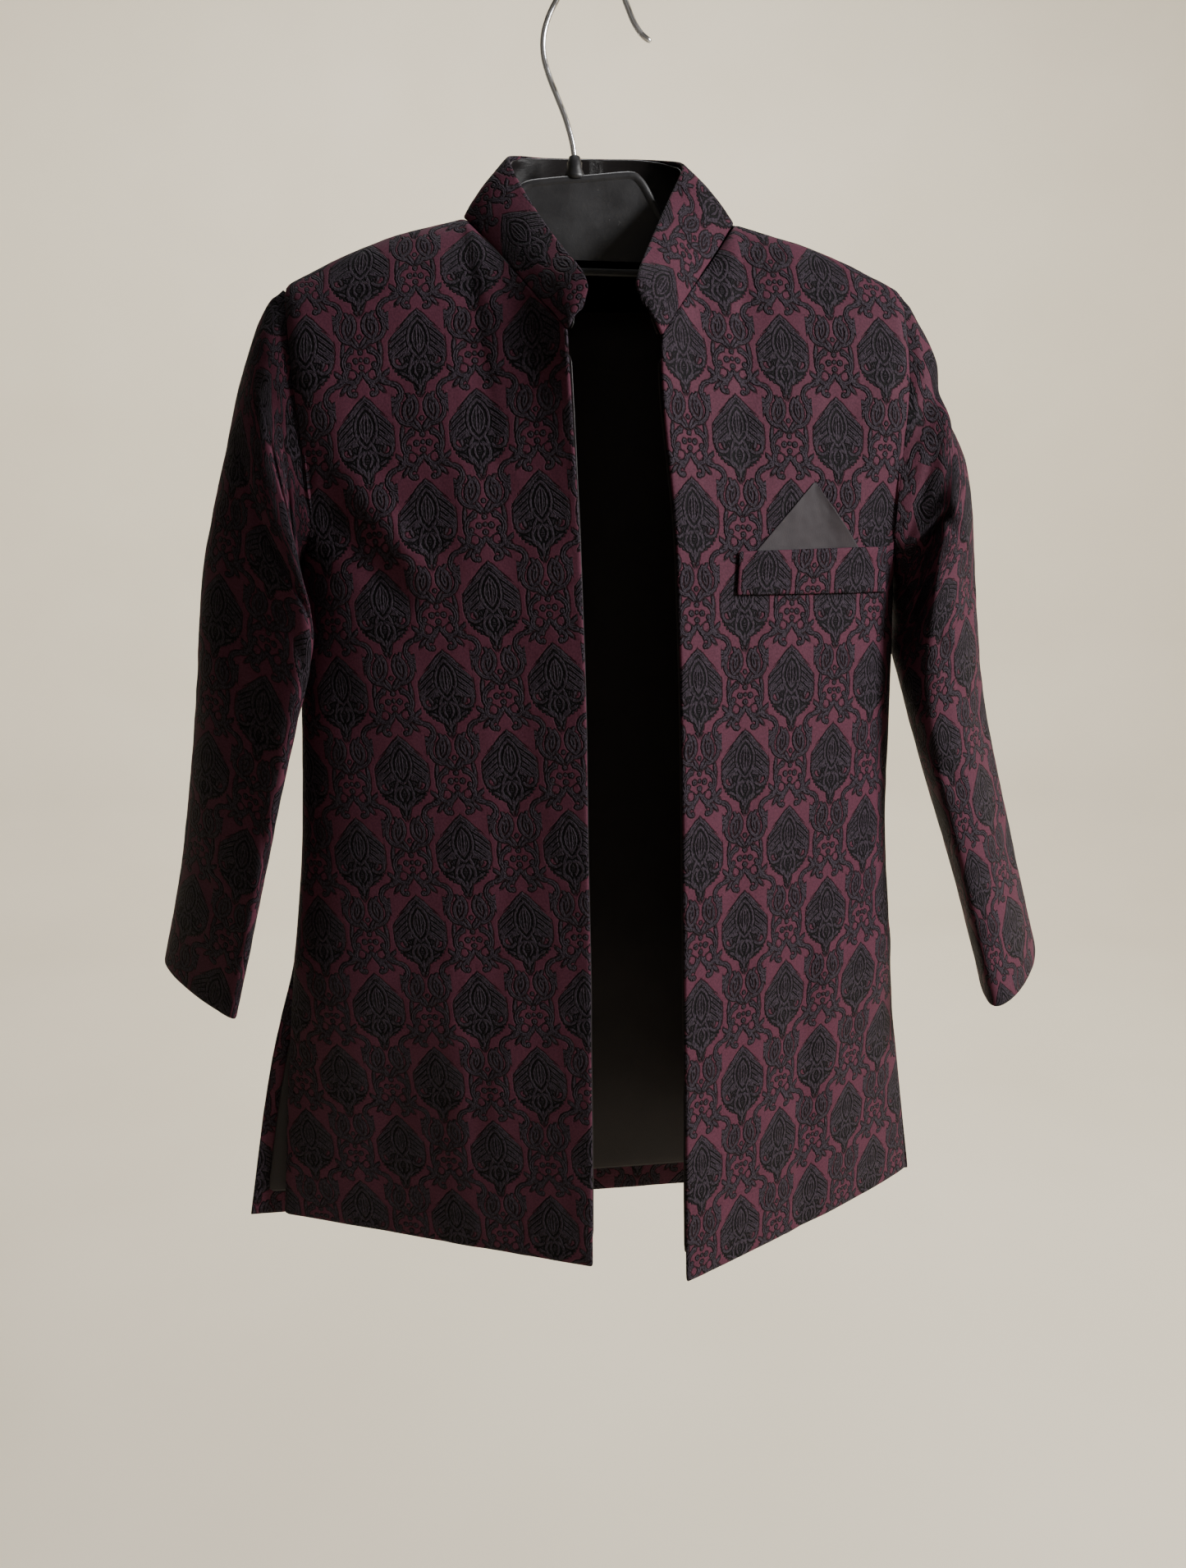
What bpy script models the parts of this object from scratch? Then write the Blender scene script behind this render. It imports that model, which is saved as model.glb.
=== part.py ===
import math

import bmesh
import bpy
from mathutils import Vector

# Start from an empty scene
for old in list(bpy.data.objects):
    bpy.data.objects.remove(old)

# Sizes in millimetres
# x runs to the wearer's left from the foot of the hook wire, y to the back, z up from the hook's inner top
MM = 0.001
HOOK_SIDE = 8.5
CLOTH = 1.8
SATIN = 0.9
SEAM = 0.3
POCKET_GAP = 0.6
SQUARE_GAP = 1.0
SLACK = 0.9
COLLAR_SLACK = 0.4
RIDGE = 0.5
ARMHOLE_SEAM = 0.8
ARMHOLE_EASE = 0.8
CHEST_Z = -256.0
HEM_Z = -563.0
BACK_HEM_Z = -566.0
COLLAR_BULGE = 1.5
WELT_THICK = 1.4
SQUARE_THICK = 1.0
WIRE = 2.5
PLATE_THICK = 7.0
PLATE_WEB = 3.4
PLATE_RIM = 1.2
PLATE_ROUND = 2.0

# Share of the girth at which the neckline ends and the armhole starts, on a front and on the back
NECK_SHARE = 0.33
LINING_TOP = 0.1
TIP_SHARE = 0.8
BACK_TIP = 0.15
BACK_NECK = 0.36

# Foot of the collar: share round the neck, x, y, z
COLLAR_FOOT = [
    (0.00, -8.5, -46.0, -152.0),
    (0.09, -17.7, -36.0, -139.8),
    (0.17, -27.0, -25.0, -126.9),
    (0.25, -37.5, -12.0, -112.6),
    (0.30, -45.5, -4.5, -102.8),
    (0.33, -48.5, 0.0, -99.5),
    (0.37, -43.0, 8.0, -99.8),
    (0.43, -20.0, 14.5, -102.0),
    (0.50, 11.0, 17.0, -103.0),
    (0.57, 42.0, 15.0, -101.0),
    (0.63, 65.5, 8.5, -98.8),
    (0.67, 71.0, 0.0, -98.4),
    (0.70, 68.0, -4.5, -102.6),
    (0.75, 60.6, -12.0, -113.5),
    (0.83, 49.8, -25.0, -128.2),
    (0.91, 40.7, -36.0, -140.4),
    (1.00, 31.4, -46.0, -153.7),
]

# Top edge of the collar, with its rounded front corners: share, x, y, z
COLLAR_TOP = [
    (0.00, -1.5, -45.3, -144.5),
    (0.03, 0.7, -45.0, -135.5),
    (0.07, -2.2, -41.5, -127.4),
    (0.12, -7.2, -34.0, -118.7),
    (0.19, -14.7, -24.0, -105.4),
    (0.26, -22.4, -14.0, -90.8),
    (0.33, -28.6, -3.5, -76.3),
    (0.37, -26.0, 6.5, -71.6),
    (0.43, -12.9, 14.5, -70.0),
    (0.50, 9.3, 17.0, -69.0),
    (0.57, 31.6, 16.0, -68.7),
    (0.63, 44.5, 7.5, -71.0),
    (0.67, 47.1, -3.5, -75.8),
    (0.74, 40.7, -14.0, -89.4),
    (0.81, 33.8, -24.0, -103.0),
    (0.88, 27.0, -34.0, -116.8),
    (0.93, 22.8, -41.0, -126.0),
    (0.97, 20.4, -45.0, -134.2),
    (1.00, 22.6, -45.3, -142.0),
]

# Shoulder and armhole lines of each front: share, x, y, z
RIGHT_SHOULDER = [
    (0.33, -48.5, 0.0, -99.8),
    (0.56, -86.8, 0.0, -111.2),
    (0.80, -125.5, 0.0, -129.8),
]
RIGHT_ARMHOLE = [
    (0.80, -125.5, 0.0, -129.8),
    (0.835, -123.5, -8.0, -150.0),
    (0.87, -121.0, -14.0, -173.5),
    (0.90, -117.5, -18.0, -205.0),
    (0.93, -116.5, -19.0, -230.5),
    (0.965, -120.3, -13.0, -242.0),
    (0.985, -123.2, -8.2, -245.3),
    (1.00, -123.5, -4.0, -247.0),
]
LEFT_SHOULDER = [
    (0.33, 71.0, 0.0, -98.7),
    (0.56, 110.0, 0.0, -109.5),
    (0.80, 148.6, 0.0, -125.5),
]
LEFT_ARMHOLE = [
    (0.80, 148.6, 0.0, -125.5),
    (0.835, 152.0, -8.0, -146.0),
    (0.87, 153.0, -13.0, -168.0),
    (0.90, 148.5, -16.0, -200.0),
    (0.93, 144.5, -16.5, -230.0),
    (0.965, 147.2, -10.0, -241.0),
    (0.985, 150.2, -4.6, -245.0),
    (1.00, 150.5, 0.0, -247.0),
]

# Armhole lines of the back: share, x, y, z
BACK_RIGHT_ARMHOLE = [
    (0.00, -123.5, -3.6, -247.0),
    (0.02, -123.3, 2.5, -242.5),
    (0.05, -121.5, 8.0, -231.0),
    (0.10, -123.0, 11.5, -190.0),
    (0.125, -124.5, 9.0, -152.0),
    (0.15, -125.5, 0.0, -129.8),
]
BACK_LEFT_ARMHOLE = [
    (0.85, 148.6, 0.0, -125.5),
    (0.875, 151.0, 9.0, -150.0),
    (0.90, 152.5, 12.0, -190.0),
    (0.95, 149.2, 9.5, -232.0),
    (0.98, 150.4, 5.5, -242.5),
    (1.00, 150.5, 0.4, -247.0),
]

# Level sections of the fronts: z, front edge x and y, turn there, side x and y, turn there in degrees
RIGHT_SECTION = [
    (-256.0, -3.0, -51.5, 16.0, -123.5, -4.0, 89.0),
    (-310.0, -1.5, -53.5, 17.0, -125.0, -4.0, 89.0),
    (-370.0, -1.0, -55.5, 18.5, -127.5, -3.0, 89.0),
    (-415.0, -0.2, -56.6, 20.0, -132.0, -1.5, 89.0),
    (-430.0, 0.0, -57.0, 20.5, -134.0, -1.0, 89.0),
    (-465.0, 0.0, -58.0, 22.0, -137.6, -0.5, 60.0),
    (-500.0, 0.3, -59.0, 23.0, -140.8, 1.5, 40.0),
    (-563.0, 0.5, -60.0, 24.0, -145.4, 5.2, 25.0),
]
LEFT_SECTION = [
    (-256.0, 37.5, -55.0, 20.0, 150.5, 0.0, 89.0),
    (-310.0, 38.7, -60.0, 22.0, 151.5, 0.5, 89.0),
    (-370.0, 39.3, -65.0, 24.0, 152.8, 2.5, 89.0),
    (-415.0, 39.8, -68.1, 26.0, 156.7, 4.1, 89.0),
    (-430.0, 40.0, -69.0, 27.0, 158.5, 4.5, 89.0),
    (-465.0, 40.4, -71.5, 29.0, 162.6, 6.5, 70.0),
    (-500.0, 40.8, -73.5, 30.0, 168.2, 9.0, 55.0),
    (-563.0, 41.3, -77.0, 31.0, 178.0, 13.5, 42.0),
]

# Level sections of the back: z, right side x and y, left side x and y, depth behind the sides, squareness
BACK_SECTION = [
    (-256.0, -123.5, -3.6, 150.5, 0.4, 12.0, 5.0),
    (-310.0, -125.0, -3.6, 151.5, 0.9, 12.0, 5.0),
    (-370.0, -127.5, -2.6, 152.8, 2.9, 11.0, 4.5),
    (-415.0, -132.0, -1.1, 156.7, 4.5, 9.5, 4.0),
    (-430.0, -134.0, -0.4, 158.5, 5.1, 9.0, 3.6),
    (-465.0, -143.5, 5.0, 163.7, 10.2, 6.0, 3.0),
    (-500.0, -151.5, 9.5, 169.8, 14.0, 3.0, 2.4),
    (-566.0, -162.5, 13.5, 180.5, 19.5, 0.3, 2.0),
]

# Where a share of the top line lands on the chest section of a front and of the back
FRONT_LANDING = [(0.0, 0.0), (0.33, 0.20), (0.8, 0.46), (0.87, 0.64), (0.93, 0.82), (1.0, 1.0)]
BACK_LANDING = [
    (0.0, 0.0),
    (0.05, 0.106),
    (0.10, 0.19),
    (0.15, 0.26),
    (0.36, 0.40),
    (0.5, 0.5),
    (0.64, 0.60),
    (0.85, 0.74),
    (0.90, 0.81),
    (0.95, 0.894),
    (1.0, 1.0),
]

# Way the cloth leaves its top line: share, sideways, back, up, reach
FRONT_LEAVE = [
    (0.00, 0.03, -0.10, -1.00, 40.0),
    (0.165, 0.15, -0.40, -0.90, 28.0),
    (0.33, 0.05, -0.95, -0.30, 16.0),
    (0.45, 0.00, -1.00, -0.03, 16.0),
    (0.80, 0.00, -1.00, -0.03, 16.0),
    (0.87, -0.15, -0.40, -0.90, 16.0),
    (0.93, -0.05, 0.00, -1.00, 8.0),
    (1.00, 0.00, 0.00, -1.00, 2.5),
]
BACK_LEAVE = [
    (0.00, 0.00, 0.00, -1.00, 2.5),
    (0.05, 0.05, 0.00, -1.00, 8.0),
    (0.10, 0.10, 0.10, -1.00, 16.0),
    (0.15, 0.00, 1.00, -0.03, 16.0),
    (0.33, 0.00, 1.00, -0.03, 16.0),
    (0.36, 0.00, 0.95, -0.30, 16.0),
    (0.42, 0.00, 0.30, -0.95, 24.0),
    (0.58, 0.00, 0.30, -0.95, 24.0),
    (0.64, 0.00, 0.95, -0.30, 16.0),
    (0.67, 0.00, 1.00, -0.03, 16.0),
    (0.85, 0.00, 1.00, -0.03, 16.0),
    (0.90, -0.10, 0.10, -1.00, 16.0),
    (0.95, -0.05, 0.00, -1.00, 8.0),
    (1.00, 0.00, 0.00, -1.00, 2.5),
]

# Rings of each sleeve below the armhole: outer, front, inner and back point as x, y, z
RIGHT_RINGS = [
    (-142.0, 3.0, -158.0, -124.0, -27.0, -205.0, -126.0, -3.0, -260.0, -138.0, 22.0, -200.0),
    (-154.5, 5.0, -202.0, -120.0, -33.0, -240.0, -128.0, -2.0, -275.0, -146.0, 28.0, -235.0),
    (-165.8, 7.0, -252.0, -119.5, -33.0, -272.0, -133.0, 0.0, -295.0, -154.0, 32.0, -264.0),
    (-172.8, 10.0, -310.0, -131.5, -30.0, -325.0, -143.0, 4.0, -335.0, -163.0, 37.0, -322.0),
    (-185.2, 22.0, -385.0, -149.0, -22.0, -394.0, -156.5, 9.0, -400.0, -179.0, 45.0, -392.0),
    (-201.3, 37.0, -443.0, -164.5, -12.0, -452.5, -168.0, 12.0, -451.0, -189.0, 55.0, -446.0),
]
LEFT_RINGS = [
    (168.0, 4.0, -153.0, 165.0, -27.0, -205.0, 151.8, -3.0, -258.0, 166.0, 22.0, -198.0),
    (188.0, 8.0, -205.0, 163.0, -31.0, -235.0, 153.0, -3.0, -272.0, 178.0, 29.0, -228.0),
    (198.0, 10.0, -258.0, 165.0, -29.0, -270.0, 155.0, -2.0, -292.0, 187.0, 33.0, -264.0),
    (206.0, 14.0, -312.0, 173.0, -26.0, -322.0, 165.0, 0.0, -330.0, 197.0, 38.0, -318.0),
    (228.0, 20.0, -385.0, 191.0, -26.0, -393.0, 190.0, 4.0, -398.0, 218.0, 46.0, -388.0),
    (249.5, 28.0, -449.0, 207.0, -28.0, -457.5, 209.5, 8.0, -456.0, 238.0, 50.0, -450.0),
]

# Largest folds of the sleeves: turn in degrees, row, width in degrees, width in rows, height
RIGHT_FOLDS = [
    (90.0, 4.0, 16.0, 2.6, 2.6),
    (35.0, 2.2, 28.0, 0.7, -2.2),
    (60.0, 3.4, 26.0, 0.8, -2.0),
    (300.0, 3.0, 30.0, 0.8, -2.2),
    (210.0, 3.6, 26.0, 0.8, -1.8),
]
LEFT_FOLDS = [
    (120.0, 4.4, 16.0, 2.0, 2.4),
    (10.0, 1.3, 50.0, 0.38, -5.0),
    (95.0, 1.6, 24.0, 0.5, 2.4),
    (60.0, 2.9, 30.0, 0.6, -2.2),
    (290.0, 3.2, 30.0, 0.8, -2.2),
    (40.0, 4.6, 26.0, 0.6, -1.8),
]

# Soft waves of the panels: share, z, width in share, width in z, height
RIGHT_WAVES = [
    (0.30, -360.0, 0.12, 90.0, 1.2),
    (0.62, -480.0, 0.10, 80.0, -1.4),
    (0.50, -215.0, 0.12, 40.0, -1.2),
]
LEFT_WAVES = [
    (0.72, -470.0, 0.10, 90.0, 1.8),
    (0.40, -420.0, 0.12, 90.0, -1.2),
    (0.30, -300.0, 0.14, 60.0, 1.0),
]
BACK_WAVES = [
    (0.30, -380.0, 0.08, 120.0, 1.6),
    (0.66, -450.0, 0.08, 110.0, 1.8),
    (0.50, -250.0, 0.10, 70.0, -1.2),
]

# Corners of the breast welt and of the folded square behind it, as x and z on the left front
WELT_CORNERS = ((65.0, -241.1), (140.5, -238.4), (64.0, -259.6), (141.0, -259.3))
SQUARE_BASE = ((73.7, -239.9), (125.4, -238.2))
SQUARE_TIP = (101.7, -211.3)

# Outline of the hanger's flat body: x, z
PLATE_OUTLINE = [
    (-5.0, -82.0),
    (-4.3, -73.5),
    (4.3, -73.5),
    (5.0, -81.2),
    (26.0, -78.6),
    (31.0, -83.0),
    (39.0, -97.0),
    (48.0, -104.5),
    (58.0, -108.8),
    (76.0, -109.0),
    (110.0, -115.2),
    (136.0, -126.4),
    (138.5, -131.5),
    (135.5, -135.5),
    (106.0, -126.0),
    (76.0, -120.0),
    (56.0, -119.5),
    (42.0, -122.6),
    (-14.0, -122.6),
    (-30.0, -119.0),
    (-52.0, -120.5),
    (-84.0, -128.5),
    (-108.0, -140.0),
    (-112.0, -137.0),
    (-110.5, -131.2),
    (-86.0, -116.6),
    (-56.0, -109.4),
    (-43.0, -108.6),
    (-34.0, -98.5),
    (-27.5, -88.5),
    (-21.0, -84.0),
]

# Centre line of the hook wire: x, y, z
HOOK_PATH = [
    (0.0, 0.0, -73.2),
    (-1.2, 0.0, -67.0),
    (-4.0, 0.0, -58.0),
    (-7.4, 0.0, -50.0),
    (-10.8, 0.0, -42.0),
    (-13.0, 0.0, -34.5),
    (-13.2, 0.0, -27.0),
    (-11.2, 0.0, -19.5),
    (-7.6, 0.0, -12.5),
    (-2.9, 0.0, -5.6),
    (2.8, 0.0, -0.6),
    (8.5, 0.0, 1.25),
    (14.2, 0.0, -0.4),
    (19.0, 0.0, -5.4),
    (22.4, 0.0, -12.5),
    (25.4, 0.0, -19.0),
    (29.0, 0.0, -23.8),
    (33.0, 0.0, -26.6),
]

# Shares and rows each piece is built on; neighbours share them along their seam
NECK_FRONT = [0, 0.08, 0.16, 0.24, 0.285, 0.31, 0.33]
NECK_BACK = [0.33, 0.35, 0.38, 0.43, 0.50, 0.57, 0.62, 0.65, 0.67]
ARMHOLE_FRONT = [0.80, 0.83, 0.86, 0.89, 0.915, 0.94, 0.97, 1.0]
ARMHOLE_BACK = [0, 0.03, 0.06, 0.09, 0.12, 0.15]
FRONT_SHARES = NECK_FRONT + [0.42, 0.55, 0.68] + ARMHOLE_FRONT
BACK_HALF = ARMHOLE_BACK + [0.20, 0.26, 0.31]
BACK_MIDDLE = [BACK_NECK + (item - 0.33) * (1 - 2 * BACK_NECK) / 0.34 for item in NECK_BACK]
BACK_SHARES = BACK_HALF + BACK_MIDDLE + [1 - item for item in reversed(BACK_HALF)]
COLLAR_HALF = [0, 0.03] + NECK_FRONT[1:-1]
COLLAR_SHARES = COLLAR_HALF + NECK_BACK + [1 - item for item in reversed(COLLAR_HALF)]
UPPER_ROWS = [0, 0.03, 0.10, 0.20, 0.34, 0.50, 0.66, 0.83, 1.0]
LOWER_ROWS = [1.12, 1.25, 1.38, 1.50, 1.567, 1.66, 1.77, 1.88, 1.96, 2.0]
COLLAR_ROWS = [0, 0.25, 0.5, 0.75, 1.0]
COLLAR_LINING_ROWS = [0.04, 0.25, 0.5, 0.75, 0.93]
WELT_SHARES = [0, 0.15, 0.3, 0.45, 0.6, 0.7, 0.8, 0.87, 0.94, 1.0]
SQUARE_SHARES = [0, 0.2, 0.4, 0.6, 0.8, 1.0]
SLEEVE_TURNS = [0, 27, 54, 81, 103.5, 126, 153, 180, 198, 216, 234, 252, 270, 288, 306, 324, 342, 360]
SLEEVE_ROWS = [0, 0.3, 0.65, 1.0, 1.4, 1.8, 2.3, 2.8, 3.3, 3.8, 4.3, 4.8, 5.4, 6.0]


# Reading a short table, with a smooth line through its rows
def row_slope(table, row, column):
    before = table[max(row - 1, 0)]
    after = table[min(row + 1, len(table) - 1)]
    return (after[column] - before[column]) / (after[0] - before[0])


def smooth_row(table, key):
    row = 0
    while row < len(table) - 2 and key > table[row + 1][0]:
        row += 1
    low = table[row]
    high = table[row + 1]
    span = high[0] - low[0]
    part = (key - low[0]) / span
    near = 2 * part ** 3 - 3 * part ** 2 + 1
    far = 1 - near
    leave = (part ** 3 - 2 * part ** 2 + part) * span
    arrive = (part ** 3 - part ** 2) * span
    values = []
    for column in range(1, len(low)):
        value = near * low[column] + far * high[column]
        value += leave * row_slope(table, row, column) + arrive * row_slope(table, row + 1, column)
        values.append(value)
    return values


def smooth_point(table, key):
    return Vector(smooth_row(table, key))


def falling_row(table, z):
    flipped = [(-row[0],) + tuple(row[1:]) for row in table]
    return smooth_row(flipped, min(max(-z, flipped[0][0]), flipped[-1][0]))


def bezier(start, first, second, end, part):
    rest = 1 - part
    return start * rest ** 3 + first * 3 * rest * rest * part + second * 3 * rest * part * part + end * part ** 3


def hill(distance, width):
    return math.exp(-(distance / width) ** 2)


# The neckline, shared by the collar, the fronts and the back
def neckline(share):
    foot = smooth_point(COLLAR_FOOT, share)
    top = smooth_point(COLLAR_TOP, share)
    return foot - (top - foot).normalized() * SEAM


# A front: level section, top line, then the whole panel
def front_section(table, hand, share, z):
    edge_x, edge_y, edge_turn, side_x, side_y, side_turn = falling_row(table, z)
    edge = Vector((edge_x, edge_y, z))
    side = Vector((side_x, side_y, z))
    chord = (side - edge).length
    edge_way = Vector((hand * math.cos(math.radians(edge_turn)), math.sin(math.radians(edge_turn)), 0))
    side_way = Vector((hand * math.cos(math.radians(side_turn)), math.sin(math.radians(side_turn)), 0))
    return bezier(edge, edge + edge_way * 0.4 * chord, side - side_way * 0.2 * chord, side, share)


def front_top(shoulder, armhole, hand, share):
    if share <= NECK_SHARE:
        point = neckline(share if hand < 0 else 1 - share)
    elif share <= TIP_SHARE:
        point = smooth_point(shoulder, share)
    else:
        point = smooth_point(armhole, share)
    if share <= TIP_SHARE:
        point.y = min(point.y, -RIDGE)
    elif share < TIP_SHARE + 0.03:
        point.y = min(point.y, -RIDGE)
    return point


def wave_height(waves, share, z):
    total = 0
    for wave_share, wave_z, share_width, z_width, height in waves:
        total += height * hill(share - wave_share, share_width) * hill(z - wave_z, z_width)
    return total


def front_panel(shoulder, armhole, section, hand, waves, share, row):
    landing = smooth_row(FRONT_LANDING, share)[0]
    if row <= 1:
        start = front_top(shoulder, armhole, hand, share)
        side_step, back_step, up_step, reach = smooth_row(FRONT_LEAVE, share)
        way = Vector((-hand * side_step, back_step, up_step)).normalized()
        end = front_section(section, hand, landing, CHEST_Z)
        below = front_section(section, hand, landing, CHEST_Z - 6)
        length = (end - start).length
        up = (end - below).normalized()
        point = bezier(start, start + way * reach, end + up * 0.45 * length, end, row)
    else:
        z = CHEST_Z + (HEM_Z - CHEST_Z) * (row - 1)
        point = front_section(section, hand, landing, z)
    point.y += wave_height(waves, share, point.z)
    return point


def front_right_form(share, row):
    return front_panel(RIGHT_SHOULDER, RIGHT_ARMHOLE, RIGHT_SECTION, -1, RIGHT_WAVES, share, row)


def front_left_form(share, row):
    return front_panel(LEFT_SHOULDER, LEFT_ARMHOLE, LEFT_SECTION, 1, LEFT_WAVES, share, row)


# A front's lining keeps clear of the armhole
def lining_row(share, row):
    if row >= 1:
        return row
    part = min(max((share - 0.8) / 0.1, 0), 1)
    cut = LINING_TOP + 0.62 * part * part * (3 - 2 * part)
    return cut + (row - LINING_TOP) * (1 - cut) / (1 - LINING_TOP)


def lining_right_form(share, row):
    return front_right_form(share, lining_row(share, row))


def lining_left_form(share, row):
    return front_left_form(share, lining_row(share, row))


# The back: level section, top line, then the whole panel
def back_section(share, z):
    right_x, right_y, left_x, left_y, depth, square = falling_row(BACK_SECTION, z)
    middle = (right_x + left_x) / 2
    half = (left_x - right_x) / 2
    side = math.sin(math.pi / 2 * (2 * share - 1))
    round_off = max(1 - abs(side) ** square, 0) ** (1 / square)
    base = right_y + (left_y - right_y) * (side + 1) / 2
    return Vector((middle + half * side, base + depth * round_off, z))


def back_top(share):
    if share < BACK_TIP:
        point = smooth_point(BACK_RIGHT_ARMHOLE, share)
    elif share > 1 - BACK_TIP:
        point = smooth_point(BACK_LEFT_ARMHOLE, share)
    elif share < BACK_NECK:
        part = (share - BACK_TIP) / (BACK_NECK - BACK_TIP)
        point = smooth_point(RIGHT_SHOULDER, TIP_SHARE + (NECK_SHARE - TIP_SHARE) * part)
    elif share > 1 - BACK_NECK:
        part = (1 - BACK_TIP - share) / (BACK_NECK - BACK_TIP)
        point = smooth_point(LEFT_SHOULDER, TIP_SHARE + (NECK_SHARE - TIP_SHARE) * part)
    else:
        part = (share - BACK_NECK) / (1 - 2 * BACK_NECK)
        point = neckline(NECK_SHARE + (1 - 2 * NECK_SHARE) * part)
    if BACK_TIP - 0.02 < share < 1 - BACK_TIP + 0.02:
        point.y = max(point.y, RIDGE)
    return point


def back_form(share, row):
    landing = smooth_row(BACK_LANDING, share)[0]
    landing = min(max(landing, 0), 1)
    if row <= 1:
        start = back_top(share)
        side_step, back_step, up_step, reach = smooth_row(BACK_LEAVE, share)
        way = Vector((side_step, back_step, up_step)).normalized()
        end = back_section(landing, CHEST_Z)
        below = back_section(landing, CHEST_Z - 6)
        length = (end - start).length
        up = (end - below).normalized()
        point = bezier(start, start + way * reach, end + up * 0.45 * length, end, row)
    else:
        z = CHEST_Z + (BACK_HEM_Z - CHEST_Z) * (row - 1)
        point = back_section(landing, z)
    point.y += wave_height(BACK_WAVES, share, point.z) * math.sin(math.pi * share)
    return point


# The collar, from its foot to its top edge
def collar_form(share, row):
    foot = smooth_point(COLLAR_FOOT, share)
    top = smooth_point(COLLAR_TOP, share)
    ahead = smooth_point(COLLAR_FOOT, min(share + 0.01, 1))
    behind = smooth_point(COLLAR_FOOT, max(share - 0.01, 0))
    out = (top - foot).cross(ahead - behind).normalized()
    return foot + (top - foot) * row + out * COLLAR_BULGE * math.sin(math.pi * row)


# A sleeve: the armhole ring, the rings below it, and the folds
def between_shares(table, shares, share, mirror):
    low = max([item for item in shares if item <= share + 1e-6])
    high = min([item for item in shares if item >= share - 1e-6])
    part = (share - low) / (high - low) if high > low else 0
    ends = [smooth_point(table, 1 - item if mirror else item) for item in (low, high)]
    return ends[0].lerp(ends[1], part)


def armhole_ring(hand, turn):
    if turn <= 180:
        table = RIGHT_ARMHOLE if hand < 0 else LEFT_ARMHOLE
        point = between_shares(table, ARMHOLE_FRONT, TIP_SHARE + (1 - TIP_SHARE) * turn / 180, False)
    else:
        table = BACK_RIGHT_ARMHOLE if hand < 0 else BACK_LEFT_ARMHOLE
        point = between_shares(table, ARMHOLE_BACK, BACK_TIP * (turn - 180) / 180, hand > 0)
    point.x += hand * (ARMHOLE_SEAM + ARMHOLE_EASE * hill(turn - 104, 16))
    return point


def sleeve_ring(ring, turn):
    outer = Vector(ring[0:3])
    front = Vector(ring[3:6])
    inner = Vector(ring[6:9])
    back = Vector(ring[9:12])
    centre = (outer + front + inner + back) / 4
    first = (outer - inner) / 2 * math.cos(math.radians(turn))
    second = (front - back) / 2 * math.sin(math.radians(turn))
    third = (outer + inner - front - back) / 4 * math.cos(math.radians(2 * turn))
    return centre + first + second + third


def sleeve_form(rings, folds, hand, share, row):
    turn = (share * 360) % 360
    column = [(0.0,) + tuple(armhole_ring(hand, turn))]
    for number, ring in enumerate(rings):
        column.append((number + 1.0,) + tuple(sleeve_ring(ring, turn)))
    point = smooth_point(column, row)
    middles = [(0.0,) + tuple((armhole_ring(hand, 0) + armhole_ring(hand, 180)) / 2)]
    for number, ring in enumerate(rings):
        middle = sum((Vector(ring[place:place + 3]) for place in (0, 3, 6, 9)), Vector()) / 4
        middles.append((number + 1.0,) + tuple(middle))
    centre = smooth_point(middles, row)
    lift = 0
    for fold_turn, fold_row, turn_width, row_width, height in folds:
        gap = abs((turn - fold_turn + 180) % 360 - 180)
        lift += height * hill(gap, turn_width) * hill(row - fold_row, row_width)
    out = point - centre
    out.z *= 0.2
    return point + out.normalized() * lift * min(row, 1)


def sleeve_right_form(share, row):
    return sleeve_form(RIGHT_RINGS, RIGHT_FOLDS, -1, share, row)


def sleeve_left_form(share, row):
    return sleeve_form(LEFT_RINGS, LEFT_FOLDS, 1, share, row)


# Finding the spot of a panel from its x and z
def spot_row(form, share, z):
    low, high = 0.0, 2.0
    for _ in range(24):
        middle = (low + high) / 2
        if form(share, middle).z > z:
            low = middle
        else:
            high = middle
    return (low + high) / 2


def spot_on(form, x, z):
    low, high = 0.0, 1.0
    for _ in range(24):
        middle = (low + high) / 2
        if form(middle, spot_row(form, middle, z)).x < x:
            low = middle
        else:
            high = middle
    return (low + high) / 2, spot_row(form, (low + high) / 2, z)


def mixed(a, b, part):
    return a + (b - a) * part


welt_spots = [spot_on(front_left_form, x, z) for x, z in WELT_CORNERS]
square_spots = [spot_on(front_left_form, x, z) for x, z in SQUARE_BASE + (SQUARE_TIP,)]


def welt_form(share, row):
    top_share = mixed(welt_spots[0][0], welt_spots[1][0], share)
    low_share = mixed(welt_spots[2][0], welt_spots[3][0], share)
    top_z = mixed(WELT_CORNERS[0][1], WELT_CORNERS[1][1], share)
    low_z = mixed(WELT_CORNERS[2][1], WELT_CORNERS[3][1], share)
    spot = mixed(top_share, low_share, row)
    return front_left_form(spot, spot_row(front_left_form, spot, mixed(top_z, low_z, row)))


def square_form(share, row):
    base_share = mixed(square_spots[0][0], square_spots[1][0], share)
    base_z = mixed(SQUARE_BASE[0][1], SQUARE_BASE[1][1], share)
    tip_share = square_spots[2][0] + (share - 0.5) * 0.006
    spot = mixed(tip_share, base_share, row)
    return front_left_form(spot, spot_row(front_left_form, spot, mixed(SQUARE_TIP[1], base_z, row)))


# Outward direction of a form at a spot
def outward(form, side, share, row, share_ends, row_ends):
    ahead = form(min(share + 0.002, share_ends[1]), row)
    behind = form(max(share - 0.002, share_ends[0]), row)
    below = form(share, min(row + 0.004, row_ends[1]))
    above = form(share, max(row - 0.004, row_ends[0]))
    return (ahead - behind).cross(below - above).normalized() * side


# A collection for the object, and small makers
part_group = bpy.data.collections.new("sherwani_coat")
bpy.context.scene.collection.children.link(part_group)


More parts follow.
